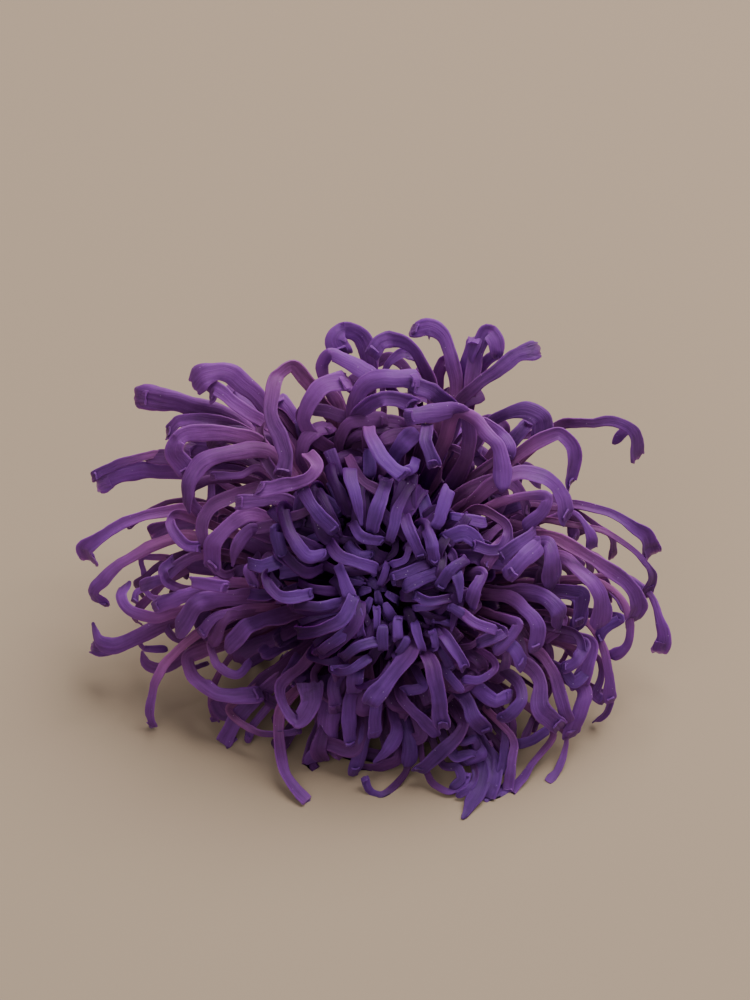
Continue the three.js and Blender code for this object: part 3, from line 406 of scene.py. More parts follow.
BOTTOM = [
    [2.4, -3, -4, 1, CUT, 4.8, -8.2, -0.9, -15.5],
    [2.3, -3, -6, 1.5, CUT, 6.9, -9.8, 8, -14, 9, -18.6],
    [1.6, -2.5, -3, 1, CUT, 9.6, -6.9, 11.7, -10.5],
    [1.4, -4, -4.5, 1, CUT, 8.6, -8.6, 9.8, -10.9],
    [1.3, -4.5, -5, 1, CUT, 9.2, -11.3, 11.3, -14],
    [2.2, -5, -7, 1, CUT, -3.1, -12.1, -3.3, -14.2],
    [1.2, -4, -4, 1, CUT, -2.2, -10.7, -6.4, -11.1],
    [2.1, -8, -11, 1.5, CUT, -3.9, -15.9, -3.7, -21.7],
    [2, -11, -13, 1, CUT, -1.8, -21.3, -3.3, -25.5],
    [1.9, -8, -10, 1, CUT, -0.2, -16.3, -0.4, -20.3],
    [2, -10, -12, 1, POINT, 2.6, -20.5, 1.1, -22.6, -0.6, -24.4],
    [2.1, -11, -12, 1, CUT, 4.3, -21.5, 4.1, -24.6],
    [1.8, -7, -9, 1, CUT, 3.4, -15.5, 5.7, -17.8, 8, -20.3],
    [2, -8, -11, 1, CUT, 11.9, -19.4, 8.8, -22.6, 5.7, -25.1],
    [1.2, -12.6, -11.4, 0, CUT, 4, -24.5, 2, -27.7, 0.3, -28.9, -1.2, -28, -1.8, -26.4],
    [1.1, -12, -11.5, 0.5, CUT, 7.5, -26.7, 9.8, -28.2, 11.7, -27.4, 12.3, -25.9],
    [2.2, -8, -10, 1.5, CUT, 12.6, -15.9, 13.6, -18.2, 14.8, -19.8],
    [2.1, -8, -8, 1.5, CUT, 14.2, -14.4, 16.1, -15.7, 18.2, -15.1],
    [1.8, -8, -8, 1.5, CUT, 19.2, -13, 19.8, -15.3, 18.4, -17.4, 17.1, -18.2],
    [2.1, -5, -6, 1, CUT, 18.8, -8.2, 19.9, -10.5],
    [1.2, -6, -6, 1, CUT, 15.7, -9.8, 16.1, -11.1, 14.2, -12.6, 11.9, -12.8],
    [1.6, -13, -11.8, 0, CUT, 18.6, -25.4, 17.4, -28, 15.1, -29.6],
    [1.5, -11, -12, 0.5, CUT, 14.3, -23.2, 12, -24.4],
    [1.5, -7, -7.5, 0.5, CUT, 6, -13.6, 3.8, -14.2],
]
CROWN = [
    [1.9, -1.5, -1, 2, CUT, -13.2, 11, -11.8, 7.5, -9.8, 4.6, -7.2, 4.5],
    [1.9, -1, 0, 2, CUT, -10.6, 13.7, -8.5, 10.8, -6, 8.1],
    [1.9, -1, -0.5, 1.5, POINT, -3.9, 16.4, -3.1, 12.7, -2.5, 8.9],
    [2, -1.5, 0, 1.5, CUT, 1.3, 14.7, 0.2, 11.4, -0.8, 8.3],
    [1.5, -2, -0.5, 1, CUT, 4.6, 14.3, 2.7, 11.2, 1.7, 6.8],
    [1.7, -1, -0.5, 1.5, CUT, 3.6, 9.9, 4.6, 7.5, 5.9, 4.7],
    [1.7, -1, -0.5, 1.5, CUT, 6.3, 8.7, 7.5, 6, 7.7, 3.7],
    [1.9, -1, -0.5, 1.5, CUT, 9.8, 13.3, 8.2, 8.7],
    [1.5, -1.5, -1, 1, CUT, -3.7, 9.1, -2.3, 7.2, 0.2, 6.4],
    [1.6, -2, -1.5, 1, CUT, -4.3, 6, -2.7, 4.5, -1, 4.5],
    [1.7, -1.5, -1, 1, CUT, -6.6, 6.2, -4.6, 4.1, -0.6, 2.7],
    [1.9, -1.5, -1.5, 1.5, CUT, -14, 8, -13.2, 4.3],
    [1.7, -1.5, -1, 1.5, CUT, -15.4, 1.8, -13.9, -0.9, -11.7, -1.3, -9.3, -0.7],
    [1.7, -1.5, -1, 1, CUT, -5.4, 2.9, -3.9, -0.9],
    [1.2, -2.5, -2.5, 0.5, POINT, -3.9, 1, -1.6, 0.6],
    [1.8, -2, -1, 1.5, CUT, -11, -6.1, -7.5, -5.7, -4.6, -4, -3.3, -1.3],
    [1.5, -2, -2, 1.5, CUT, -11.2, -2.3, -8.1, -2.4, -5, -1.9],
    [1, -3, -2.5, 1, CUT, -10.4, -4.8, -5.4, -2.8],
    [1.6, -3, -2.5, 1.5, CUT, -7.9, -8.8, -5.8, -7.3, -3.3, -5.3],
    [1.5, -3, -2.5, 1, CUT, -4.8, -9.4, -2.7, -8, -0.4, -7.3],
    [1.3, -4, -3, 1, CUT, -6.2, -11.3, -3.5, -11.3, -1.4, -9.8],
    [1.5, -2.5, -2, 1, ROUND, 0.6, -8.6, 0.6, -5.4],
    [1.2, -3, -2.5, 0.5, CUT, -2.3, -6.3, -2.7, -2.8],
    [1, -3, -3, 0.5, CUT, -0.2, -5.5, -0.2, -3],
    [1.4, -2.5, -2.5, 0.5, CUT, 2.7, -6.9, 2.7, -4.2],
    [1.2, -3, -2.5, 0.5, CUT, 2.7, -9.2, 4, -6.7],
    [1.2, -3, -2.5, 0.5, CUT, 5.9, -8.4, 5.2, -5.1],
    [1.1, -3, -2.5, 0.5, CUT, 7.7, -8.4, 7.5, -5.9],
    [1.4, -1.5, -1.5, 1, CUT, 6.7, 3.3, 2.3, 1.6],
    [1.8, -1.5, -1, 1.2, CUT, 8, 2.2, 3.8, 0.2],
    [1.6, -1.5, -1.5, 1, CUT, 12.1, 4.1, 9.8, 2.2, 8.6, 0.2],
    [1.7, -1, -1, 1, POINT, 10.9, 1.8, 11.3, -1.9],
    [1, -2, -2, 0.5, CUT, 4.2, 6, 3.8, 3.9, 1.9, 3.3],
    [1, -2.5, -3, 0.5, CUT, 1.1, 3.3, 0.4, 0.6],
    [1.3, -1.5, -1.5, 1, CUT, 9.8, -1.3, 6.9, -1.7, 5.4, -0.9],
    [0.9, -2, -2, 0.5, CUT, 8.8, -2.4, 5, -2.6],
    [1.4, -2.5, -2, 0.8, CUT, 13.8, -5.1, 11.3, -3.4, 9.6, -2.4],
    [1.1, -3.5, -3, 0.5, CUT, 10.7, -5.1, 7.7, -4.2],
    [2.2, -3, -2.5, 1, CUT, 13.8, 6, 11.7, 7.5, 9.4, 6.8],
    [1.1, -3, -3, 0.5, CUT, 13.4, 9.5, 10, 9.9],
    [1.8, -4, -3.5, 1, CUT, -6.4, 14.6, -4.4, 12],
    [1.8, -3, -3, 1, CUT, -8.4, 12.9, -5.3, 10.6],
    [1.3, -3, -3, 0.5, CUT, -9.6, 6.4, -7.5, 7.2],
    [1.8, -3, -2.5, 0.8, CUT, -17.8, 3.3, -15.5, 2.9, -13.2, 3.8],
    [2, -3, -3, 0.8, CUT, -13.2, 2.4, -10.6, 2.7],
    [1.8, -2.5, -2, 1, ROUND, -1.2, 19, -1, 15.6],
    [1.4, -3, -1.5, 1, CUT, 5.3, 18, 4.9, 16.4, 3.8, 15.9],
    [1.8, -5, -4, 1, CUT, 6, 13, 6.6, 9.8],
]

LOW_DETAIL = [
    [1.5, -9, -10, 1, ROUND, 27.6, -6.6, 28.4, -8.6, 27.6, -10.2, 25.8, -11.2],
    [2, -12, -13, 1, ROUND, 27.2, -1.2, 28, -3.4, 27.6, -5.6],
    [1.6, -13, -13, 0.5, CUT, 33.6, -4.4, 31.8, -5.4, 30.4, -7],
    [1.3, -13, -12, 0, CUT, 17.4, -18.2, 17.5, -22, 17.2, -25.5],
    [1.5, -13, -13, 0.3, CUT, 19.2, -21.6, 21, -21.3, 23.2, -19.8],
    [1.6, -11, -12, 0.6, CUT, 25.6, -11.6, 27.2, -13.2, 29.2, -11.2],
    [3.2, -13, -9.3, 0.2, POINT, 14.5, -23.4, 13.8, -28, 11.7, -31.8],
    [1.3, -12, -11, 0.6, ROUND, 9, -24.6, 11, -24.9, 11.5, -26.4, 10.3, -27.6],
    [2.2, -13, -11.4, 0.3, CUT, 15.8, -23.8, 16.2, -26, 15.4, -28.6],
    [1.2, -10, -11, 0.5, CUT, 11.6, -21.4, 13.4, -20.9, 13.8, -22],
    [1.6, -11, -12, 0.5, POINT, 10.8, -23.4, 13.2, -22.9, 14.2, -23.9],
    [1.1, -12, -11, 0.8, ROUND, 13.6, -25.6, 12.8, -27.6, 11.2, -28.8],
]
FAN_DETAIL = [
    [2.3, -13, -14, 0.6, CUT, -14, 19.6, -19, 20.9, -25, 22.2],
    [2.5, -14, -15, 0.5, CUT, -14, 17.3, -20, 18.4, -26.4, 19.2],
    [2.2, -15, -16, 0.5, CUT, -14, 21.2, -20, 22.4, -26, 22.9],
    [2.4, -15, -15, 0.5, CUT, -12.5, 21.4, -16, 24, -20.6, 27.2],
    [2, -15, -16, 0.5, CUT, -13, 14.4, -18, 15.6, -25, 16.6],
    [2, -13, -13, 0.5, CUT, -9.5, 20.6, -12.3, 24, -13.7, 26],
]
SIDE_DETAIL = [
    [0.9, -13, -14, 0.5, CUT, 30.8, 0.6, 32.6, -1.2, 34, -3.2],
    [0.9, -15, -15, 0.3, CUT, -31.4, -1.4, -32.4, -0.4, -33.4, -0.7, -33.8, -1.8],
]
# lobes torn from the mouths of others, so without a shaft: written the same
LOBES = [
    [1.7, -19.5, -20, 0, CUT, -36.4, -8.2, -38.4, -8.8, -40, -8.4],
    [1.3, -13.2, -15, 0.3, ROUND, 34.6, 22.2, 33.7, 21.2, 32.9, 19.9],
    [0.8, -12, -12, 0, POINT, 7.2, 35.8, 7, 34.9, 7, 34.2],
]

# the middle of the dome that florets grow from, half its size each way, and where the two points of a
# root lie: this deep under the dome's surface, and this far from its middle
HUB, DOME = Vector((0, 0, -22)), Vector((12, 12, 11.5))
ROOT_SINK, DEEP_ROOT = 2.0, 5.5
# where the way out of the dome turns past this cosine or runs past this length, one more point guides it
SHARP_TURN, LONG_RUN = 0.35, 9
# the curled end, in widths: how far on it goes, how far it dips, and how far it dips this near the eye
CURL_REACH, CURL_DIP, EYE_DIP, NEAR_EYE = 0.25, 0.3, 0.55, 18
# thickness in widths, the least in millimetres, and how high a resting floret's middle is in thicknesses
FLATNESS, THIN_MIN, RESTING = 0.12, 0.26, 0.55
FINE_STEP, LEAST_STEP = 0.25, 0.05
TIP_RINGS_OVER, TIP_PITCH, SHAFT_PITCH, RING_TURN = 4, 0.5, 1.3, 0.22
SLIMMER_SHAFT = {KNOB: 0.85, SPOON: 0.65}
# how far a floret twists to and fro, and how fast its twist and its width change along it
TWIST, TWIST_PACE, WIDTH_PACE, FULL_TURN = math.radians(26), 0.22, 0.9, 6.28
# how much its flat side turns to the viewer, and how much it keeps on as it was
FACING, KEEPING = 2.1, 0.25
# rings past the last one: their share of its girth, how far on, in widths, and how ragged
OPEN_MOUTH = [(0.86, -0.03, 1.0), (0.78, -0.4, 0.5), (0.7, -0.9, 0.0)]
CLOSED_MOUTH = [(0.80, 0.06, 0.0), (0.45, 0.1, 0.0)]
# in widths from the tip: where the painted light starts to fail into painted shade, over how far, how
# much further on a faded floret, and how far the tip's folds reach; in millimetres, how wide the blend
# from the painted shade of the heart to faded dye is
LIT_END, LIT_RUN, FADED_RUN, FOLD_RUN, SHADED_HEART_BLEND = 2, 4.0, 7, 1.2, 10
READ = ("centre", "across", "out", "along", "half", "form", "look", "fold", "offset", "age")
WORD = 2**32

# How florets grew: the age of their dye, which also brings in the painted glow at old roots, the swelling
# behind their tips, the share that is closed, the flare of the others, the shafts' width, how much painted
# light their colour gets, and the radius of the heart within which painted shade keeps all dark and young.
Habit = namedtuple("Habit", "age swell closing flaring shaft lit heart", defaults=(1.0, 0))


def seeded(seed):
    """A small seeded draw between 0 and 1, the same everywhere."""
    state = seed

    def draw():
        nonlocal state
        state = (state + 0x6D2B79F5) % WORD
        t = (state ^ (state >> 15)) * (1 | state) % WORD
        t ^= (t + (t ^ (t >> 7)) * (61 | t)) % WORD
        return (t ^ (t >> 14)) / WORD

    return draw


def ease(value):
    value = min(1.0, max(0.0, value))
    return value * value * (3 - 2 * value)


def from_hub(own, width, kind):
    """Adds to a floret's own points those that take it down to the receptacle, and its curled end."""
    unit = (own[0] - HUB).normalized()
    root = HUB + DOME * unit - ROOT_SINK * unit
    points = [HUB + DEEP_ROOT * unit, root]
    onward = (own[1] - own[0]).normalized()
    run = (own[0] - root).length
    if unit.dot(onward) < SHARP_TURN:
        points.append(own[0] - 2.0 * unit - 0.35 * onward)
    elif run > LONG_RUN:
        points.append(root.lerp(own[0], 0.55) + Vector((0, 0, run * 0.05)))
    if kind in (CUT, ROUND):
        ahead = (own[-1] - own[-2]).normalized()
        dip = EYE_DIP if own[-1].length < NEAR_EYE else CURL_DIP
        dip *= ease(lay_down(*own[-1]).z / (2 * MM))
        own.append(own[-1] + ahead * (CURL_REACH * width) + Vector((0, 0, -dip * width)))
    return points + own


def by_hand(lines, rooted=True):
    """For each floret of a list its points from root to tip, its width and its kind of tip."""
    for width, first, tip, arch, kind, *xy in lines:
        own = []
        for i, (x, y) in enumerate(zip(xy[::2], xy[1::2])):
            s = i / (len(xy) // 2 - 1)
            own.append(Vector((x, y, first + (tip - first) * s + arch * 4 * s * (1 - s))))
        yield from_hub(own, width, kind) if rooted else own, width, kind


def smooth_path(points):
    """A fine smooth curve through the given points: a Catmull-Rom spline with centripetal knots."""
    ends = [points[0] * 2 - points[1], *points, points[-1] * 2 - points[-2]]
    fine = []
    for four in zip(ends, ends[1:], ends[2:], ends[3:]):
        knots = [0.0]
        for a, b in zip(four, four[1:]):
            knots.append(knots[-1] + max((b - a).length, LEAST_STEP) ** 0.5)
        pieces = max(3, round((four[2] - four[1]).length / FINE_STEP))
        for k in range(pieces):
            t = knots[1] + (knots[2] - knots[1]) * k / pieces
            blend = four
            for spans in ((0, 1), (1, 2), (2, 3)), ((0, 2), (1, 3)), ((1, 2),):
                times = [(knots[i], knots[j]) for i, j in spans]
                pairs = zip(blend, blend[1:], times)
                blend = [a * ((t1 - t) / (t1 - t0)) + b * ((t - t0) / (t1 - t0)) for a, b, (t0, t1) in pairs]
            fine += blend
    return [*fine, points[-1].copy()]


def ring_places(points, width):
    """Where the rings go, close together at the tip and in bends, and how far each is from the tip."""
    fine = smooth_path(points)
    left = [0.0]
    for a, b in zip(reversed(fine[:-1]), reversed(fine[1:])):
        left.append(left[-1] + (b - a).length)
    left.reverse()
    chosen, spent = [0], 0.0
    for i in range(1, len(fine) - 1):
        step = fine[i] - fine[i - 1]
        pitch = TIP_PITCH if left[i] < TIP_RINGS_OVER * width else SHAFT_PITCH
        spent += step.length / pitch + step.angle(fine[i + 1] - fine[i], 0.0) / RING_TURN
        if spent >= 1:
            chosen.append(i)
            spent = 0.0
    chosen.append(len(fine) - 1)
    return [(fine[i], left[i]) for i in chosen]


def dent(e, middle, reach):
    """A bell shape over the distance from the tip."""
    return math.exp(-(((e - middle) / reach) ** 2))


def girth(e, kind, shaft, swell, closed, flare):
    """Width and thickness, as shares of the full ones, at a distance e from the tip, in widths."""
    shaft *= SLIMMER_SHAFT.get(kind, 1)
    grown = (3.2 - e) / 2.6 if kind == SPOON else (7 - e) / 6
    wide = shaft + (1 - shaft) * ease(grown) + swell * dent(e, 1.3, 1.0)
    thick = 1.0 + 0.6 * ease((e - 3) / 8)
    if kind == POINT:
        wide *= 1 - 0.8 * max(0, 1 - e / 2.6) ** 1.5
    elif kind == KNOB:
        wide *= 1 - 0.16 * dent(e, 1.6, 0.6) + 0.3 * dent(e, 0.5, 0.5)
        thick *= 1 + 0.5 * dent(e, 0.5, 0.6)
    elif kind == ROUND:
        wide *= 1 - 0.5 * max(0, 1 - e / 0.9) ** 1.6
    elif closed and kind == CUT:
        wide *= 1 - 0.36 * max(0, 1 - e / 0.8) ** 1.6
    else:
        wide *= 1 - 0.08 * dent(e, 1.3, 0.45) + flare * dent(e, 0, 0.8)
        wide -= 0.2 * dent(e, 0, 0.5) * (kind == CUT)
        thick *= 1 + 0.5 * dent(e, 0, 0.4)
    return wide, thick


def toward(vector, other):
    """The vector, or its opposite where that points more the other's way."""
    return -vector if vector.dot(other) < 0 else vector


def rail(points, width, kind, draw, habit):
    """What the tree reads at each ring of a floret's tube, from its root to inside its mouth."""
    path, left = zip(*((lay_down(*p), far) for p, far in ring_places(points, width)))
    thickness = max(THIN_MIN, width * FLATNESS) * MM
    for p in path:
        p.z = max(p.z, thickness * RESTING)
    ways = [(b - a).normalized() for a, b in zip((path[0], *path), (*path[1:], path[-1]))]
    hollow = Vector()
    for a, b, c in zip(path, path[1:], path[2:]):
        one, two = b - a, c - b
        hollow += one.cross(two) / max(one.length * two.length, 1e-12)
    flat = AXIS.cross((path[-1] - path[0]).normalized())
    leaning = 0.6 * toward(hollow, flat).normalized() + 0.8 * flat
    tone, ribs, cup, slant = draw(), draw(), -0.35 + 0.6 * draw(), 0.1 + 0.6 * draw()
    twist, twist_phase = TWIST * (draw() - 0.5) * 2, FULL_TURN * draw()
    swell = habit.swell * (0.4 + 1.1 * draw())
    closed = draw() < habit.closing
    uneven, uneven_phase = 0.05 + 0.05 * draw(), FULL_TURN * draw()
    crease, crease_depth = 0.9 * (draw() - 0.5), 0.62 * draw() - 0.24
    offset = Vector((draw(), draw(), draw())) * 0.4
    flare = habit.flaring * (0.3 + 0.7 * draw())
    rings, side = [], Vector()
    for p, t, far in zip(path, ways, left):
        by_bend = toward(leaning - leaning.dot(t) * t, side)
        by_face = toward(AXIS.cross(t), side if rings else by_bend)
        side = by_bend + FACING * by_face + KEEPING * side
        side = (side - side.dot(t) * t).normalized()
        across = Matrix.Rotation(twist * math.sin(TWIST_PACE * far + twist_phase), 3, t) @ side
        wide, thick = girth(far / width, kind, habit.shaft, swell, closed, flare)
        wide *= 1 + uneven * math.sin(WIDTH_PACE * far + uneven_phase)
        half = (wide * width * MM / 2, thick * thickness / 2)
        rings.append([p, across, t.cross(across), t, *half, far / width, 0.0])
    # the outer face is the one on the outside of the bend, or on a straight floret the one that is seen
    straight = hollow.length < 0.5
    outward = sum(out.dot(AXIS if straight else t.cross(hollow)) for _, _, out, t, *_ in rings)
    if outward < 0:
        for ring in rings:
            ring[2] = -ring[2]
    is_open = kind in (CUT, KNOB, SPOON) and not closed
    rings[-1][7] = float(is_open)
    p, across, out, t, a, b, e, _ = rings[-1]
    for share, on, torn in OPEN_MOUTH if is_open else CLOSED_MOUTH:
        rings.append([p + t * (width * MM) * on, across, out, t, a * share, b * share, e + min(on, 0), torn])
    read = []
    for p, across, out, t, a, b, e, torn in rings:
        radius = (p - lay_down(*HUB)).cross(AXIS).length / MM
        # the heart is painted shade: inside it the florets keep the dark young ramp
        past_shaded_heart = ease((radius - habit.heart + SHADED_HEART_BLEND / 2) / SHADED_HEART_BLEND)
        # painted light for the colour: full near the tip, falling into painted shade towards the root
        light = habit.lit * ease(1 - (e - LIT_END) / (LIT_RUN + FADED_RUN * habit.age * past_shaded_heart))
        form, look = (6 * ribs, cup, slant), (light, tone, left[0] * MM - e * width * MM)
        fold = (crease, crease_depth, math.exp(-max(e, 0) / FOLD_RUN))
        read.append((p, across, out, t, (a, b, torn), form, look, fold, offset, habit.age * past_shaded_heart))
    return read


def stored(tree, name, kind="FLOAT_VECTOR"):
    return make(tree, "GeometryNodeInputNamedAttribute", {"Name": name}, "Attribute", data_type=kind)


def keep(geometry, name, value, domain="POINT"):
    """Stores a field on a geometry under a name."""
    inputs = {"Geometry": geometry, "Name": name, "Value": value}
    kind = "FLOAT_VECTOR" if value.socket.type == "VECTOR" else "FLOAT"
    return make(geometry.tree, "GeometryNodeStoreNamedAttribute", inputs, data_type=kind, domain=domain)


def end(geometry, finish):
    """Ends a tree: gives its geometry a material and puts it out."""
    tree = geometry.tree
    finished = make(tree, "GeometryNodeSetMaterial", {"Geometry": geometry, "Material": finish})
    fill(tree.nodes.new("NodeGroupOutput"), {0: finished})


# how many ribs there are, how fine the pleats, the mouth's teeth, the wrinkles and the sway, and how much
# the shaft wrinkles beside the tip; then how far the lowest points stay off the floor
RIB_WAVES, PLEATS, TEETH, WRINKLES, SWAYS, SHAFT_WRINKLE = 7.0, 2.4, 3.2, 800.0, 230.0, 0.32
TOUCHING = 0.02 * MM


def floret_tree():
    """Geometry Nodes: a pressed, ribbed tube with a ragged mouth round each rail of rings."""
    inputs = {"Rails": "Geometry", "Sides": 16, "Seed": 3.0, "Finish": "Material"}
    inputs |= {"Edge Detail": 0.62, "Squareness": 9.0, "Rib Depth": 0.05, "Pleat Depth": 0.17}
    inputs |= {"Groove Depth": 0.4, "Tooth Length": 1.3, "Wrinkle Size": 0.00038, "Sway Size": 0.0009}
    tree, given = new_group("pressed floret", "GeometryNodeTree", inputs, {"Florets": "Geometry"})
    ring = make(tree, "GeometryNodeCurvePrimitiveCircle", {"Resolution": given["Sides"], "Radius": 1.0})
    ring = keep(ring, "around", make(tree, "GeometryNodeInputIndex") / given["Sides"])
    rails = make(tree, "GeometryNodeMeshToCurve", {"Mesh": given["Rails"]})
    inputs = {"Curve": rails, "Profile Curve": ring, "Fill Caps": True}
    tube = make(tree, "GeometryNodeCurveToMesh", inputs)
    # x and y of a unit section: flat faces with close rings of points at its two edges
    around = stored(tree, "around", "FLOAT")
    even = abs(around * 2.0 - 1.0) * 2.0 - 1.0
    x = abs(even) ** given["Edge Detail"] * even.maths("SIGN")
    face = around.maths("LESS_THAN", 0.5) * 2.0 - 1.0
    y = (1.0 - abs(x) ** given["Squareness"]).maths("MAXIMUM", 0.0).maths("SQRT") * face
    half_wide, half_thick, torn = stored(tree, "half").parts()
    ribs, cup, slant = stored(tree, "form").parts()
    _, tone, reached = stored(tree, "look").parts()
    crease_place, crease_depth, tip = stored(tree, "fold").parts()
    # the face's height: ribs, a groove along the inner face, pleats, one crease, and a cupped section
    bulge = ((x + ribs) * RIB_WAVES).maths("COSINE") * given["Rib Depth"] + 1.0
    groove = (y * -1.0).maths("MAXIMUM", 0.0) * (1.0 - x * x) * given["Groove Depth"]
    pleats = (noise(combined(tree, x, tone * 91.0), PLEATS, 1.0) - 0.5) * given["Pleat Depth"]
    aside = x - crease_place
    crease = (aside * aside + 0.01).maths("SQRT") * crease_depth * half_wide
    height = (y * bulge + groove) * half_thick + pleats * half_wide
    height = height - crease - cup * half_wide * (x * x)
    reach = x * half_wide
    ragged = noise(combined(tree, x, tone * 57.0, given["Seed"]), TEETH, 2.0)
    tooth = (ragged - 0.5) * given["Tooth Length"]
    beyond = torn * half_wide * (tooth + (y * 0.5 - 0.5) * slant)
    offset = stored(tree, "offset")
    strand = combined(tree, reach, reached, height) + offset
    pucker = (noise(strand, WRINKLES, 2.0) - 0.5) * given["Wrinkle Size"] * (tip + SHAFT_WRINKLE)
    sway = noise(combined(tree, 0.0, reached) + offset, SWAYS, 1.0, "Color")
    sway = (sway - (0.5, 0.5, 0.5)) * given["Sway Size"]
    spot = stored(tree, "centre") + sway + stored(tree, "across") * (x * pucker + reach)
    spot = spot + stored(tree, "out") * (y * pucker + height) + stored(tree, "along") * beyond
    spot_x, spot_y, spot_z = spot.parts()
    spot = combined(tree, spot_x, spot_y, spot_z.maths("MAXIMUM", TOUCHING))
    kept = keep(keep(tube, "strand", strand), "side", x)
    shaped = make(tree, "GeometryNodeSetPosition", {"Geometry": kept, "Position": spot})
    whole = make(tree, "GeometryNodeRealizeInstances", {"Geometry": shaped})
    end(whole, given["Finish"])
    return tree


def store(mesh, name, values):
    """Gives each point of a mesh a number or a vector of its own."""
    if isinstance(values[0], float):
        mesh.attributes.new(name, "FLOAT", "POINT").data.foreach_set("value", values)
    else:
        flat = [part for vector in values for part in vector]
        mesh.attributes.new(name, "FLOAT_VECTOR", "POINT").data.foreach_set("vector", flat)


def plain_mesh(tree, base, values):
    """The mesh that a tree makes of another, with inputs of the tree given by name."""
    maker = placed(base.name, base)
    nodes = maker.modifiers.new("nodes", "NODES")
    nodes.node_group = tree
    for socket in tree.interface.items_tree:
        if socket.name in values:
            nodes[socket.identifier] = values[socket.name]
    graph = bpy.context.evaluated_depsgraph_get()
    mesh = bpy.data.meshes.new_from_object(maker.evaluated_get(graph), depsgraph=graph)
    bpy.data.objects.remove(maker)
    return mesh


def smooth_piece(name, mesh, corner):
    """A piece of a closed mesh: faces outward, and smooth but for edges past the corner, in degrees."""
    body = bmesh.new()
    body.from_mesh(mesh)
    bmesh.ops.recalc_face_normals(body, faces=body.faces)
    body.to_mesh(mesh)
    body.free()
    mesh.shade_smooth()
    mesh.set_sharp_from_angle(angle=math.radians(corner))
    return placed(name, mesh)


FLORET_TREE = floret_tree()


def grow(name, florets, sides, seed, habit):
    """One piece of florets, each given by its points, its width and its kind of tip."""
    draw = seeded(seed)
    rings, edges = [], []
    for points, width, kind in florets:
        start = len(rings)
        rings += rail(points, width, kind, draw, habit)
        edges += [(i, i + 1) for i in range(start, len(rings) - 1)]
    rails = bpy.data.meshes.new(name + "_rails")
    rails.from_pydata([(0, 0, MM * i) for i in range(len(rings))], edges, [])
    for key, values in zip(READ, zip(*rings)):
        store(rails, key, values)
    values = {"Sides": sides, "Seed": float(seed), "Finish": petal_finish}
    piece = smooth_piece(name, plain_mesh(FLORET_TREE, rails, values), 42)
    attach(piece, "root")
    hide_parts("bloom")


# the first number also sets how much of the pink-rooted painted glow shows; the last, where given, is the
# radius of the heart kept dark by painted shade
grow("florets_crown", by_hand(CROWN), 20, 11, Habit(0.0, 0.05, 0.45, 0.1, 0.95))
grow("florets_inner_right", by_hand(RIGHT_INNER), 20, 10, Habit(0.35, 0.1, 0.45, 0.1, 0.9))
grow("florets_fan", by_hand(UPPER_LEFT + FAN_DETAIL), 20, 12, Habit(1.0, 0.15, 0.1, 0.35, 0.92))
grow("florets_top", by_hand(TOP + UPPER_RIGHT), 20, 20, Habit(0.6, 0.15, 0.1, 0.35, 0.92, 1.0, 21))
left_side = [*by_hand(LEFT + SIDE_DETAIL), *by_hand(LOBES, rooted=False)]
grow("florets_left", left_side, 20, 9, Habit(0.7, 0.1, 0.1, 0.45, 0.95))
grow("florets_right", by_hand(RIGHT), 20, 13, Habit(0.55, 0.25, 0.3, 0.2, 0.75, 1.0, 12))
grow("florets_low", by_hand(BOTTOM + LOW_DETAIL), 20, 14, Habit(0.12, 0.05, 0.35, 0.1, 0.85))

# ---------------------------------------------------------------------------- youngest and oldest florets
# In the eye the youngest florets are short and closed, packed in a spiral. Behind the others a second
# layer and bare shafts fill the head. Under them all the oldest bend back round the calyx in rows, and
# a collar of roots leaves over the receptacle's edge.
GOLDEN_ANGLE = 137.508
EYE_COUNT, EYE_SEED, EYE_SPREAD = 13, 7, 1.15
# depth of the roots and of the middle tips, how those further out rise, and how far they hook over
EYE_ROOTS, EYE_DEPTH, EYE_RISE, EYE_HOOK = -14, -5.2, 0.45, 1.3
SKIRT_ROWS = [
    # count, depth, reach, drawn longer, how far the tips bend back; at the top, reach and rise
    (26, -23.4, 15, 6, 6.5, 18.5, 7.0),
    (24, -21.2, 17, 4, 5.5, 21.5, 8.5),
    (22, -18.5, 19, 3, 4.5, 24.0, 9.0),
]
SKIRT_SEED, SKIRT_START, SKIRT_SWAY = 41, 7, 2.5
COLLAR_COUNT, COLLAR_SEED = 46, 43
# how much longer, higher and further aside, as an angle, each one may be
COLLAR_LONGER, COLLAR_HIGHER, COLLAR_SWAY = 2.4, 3.5, 0.22
# radius, depth, and the share of each one's own length, height and sway
COLLAR_RUN = [(8.6, -24.7, 0), (11.5, -22.6, 0), (13.2, -19.2, 0.3), (16.2, -14.5, 1)]
# where the head is parted and only shafts are seen: from one angle to another, and between two radii
PARTINGS = [(182, 238, 8, 24), (336, 366, 12.5, 22), (46, 84, 12.5, 20)]
UNDERCOAT_ROWS = [
    # count, reach, drawn longer, depth of the tip, drawn deeper, hooks over by, width
    (20, 15.0, 4.0, -7.0, 2.0, 2.6, 1.9),
    (28, 19.0, 5.0, -10.5, 2.5, 2.4, 2.0),
    (32, 21.0, 7.0, -14.0, 3.0, 1.5, 2.1),
]
UNDERCOAT_SEED, INNER_REACH, UNDERCOAT_TURN = 29, 20, math.radians(26)
# a point on the way to each one's knee: its share of the knee's place, and how far under that
KNEE_SHARE, KNEE_DROP = 0.72, 4.536


def around(r, a, z, aside=0.0):
    """A point at a radius, an angle and a depth in the head, moved aside across its radius."""
    return Vector((r * math.cos(a) - aside * math.sin(a), r * math.sin(a) + aside * math.cos(a), z))


def varied(draw, spread):
    """A share drawn round 1."""
    return 1 - spread / 2 + spread * draw()


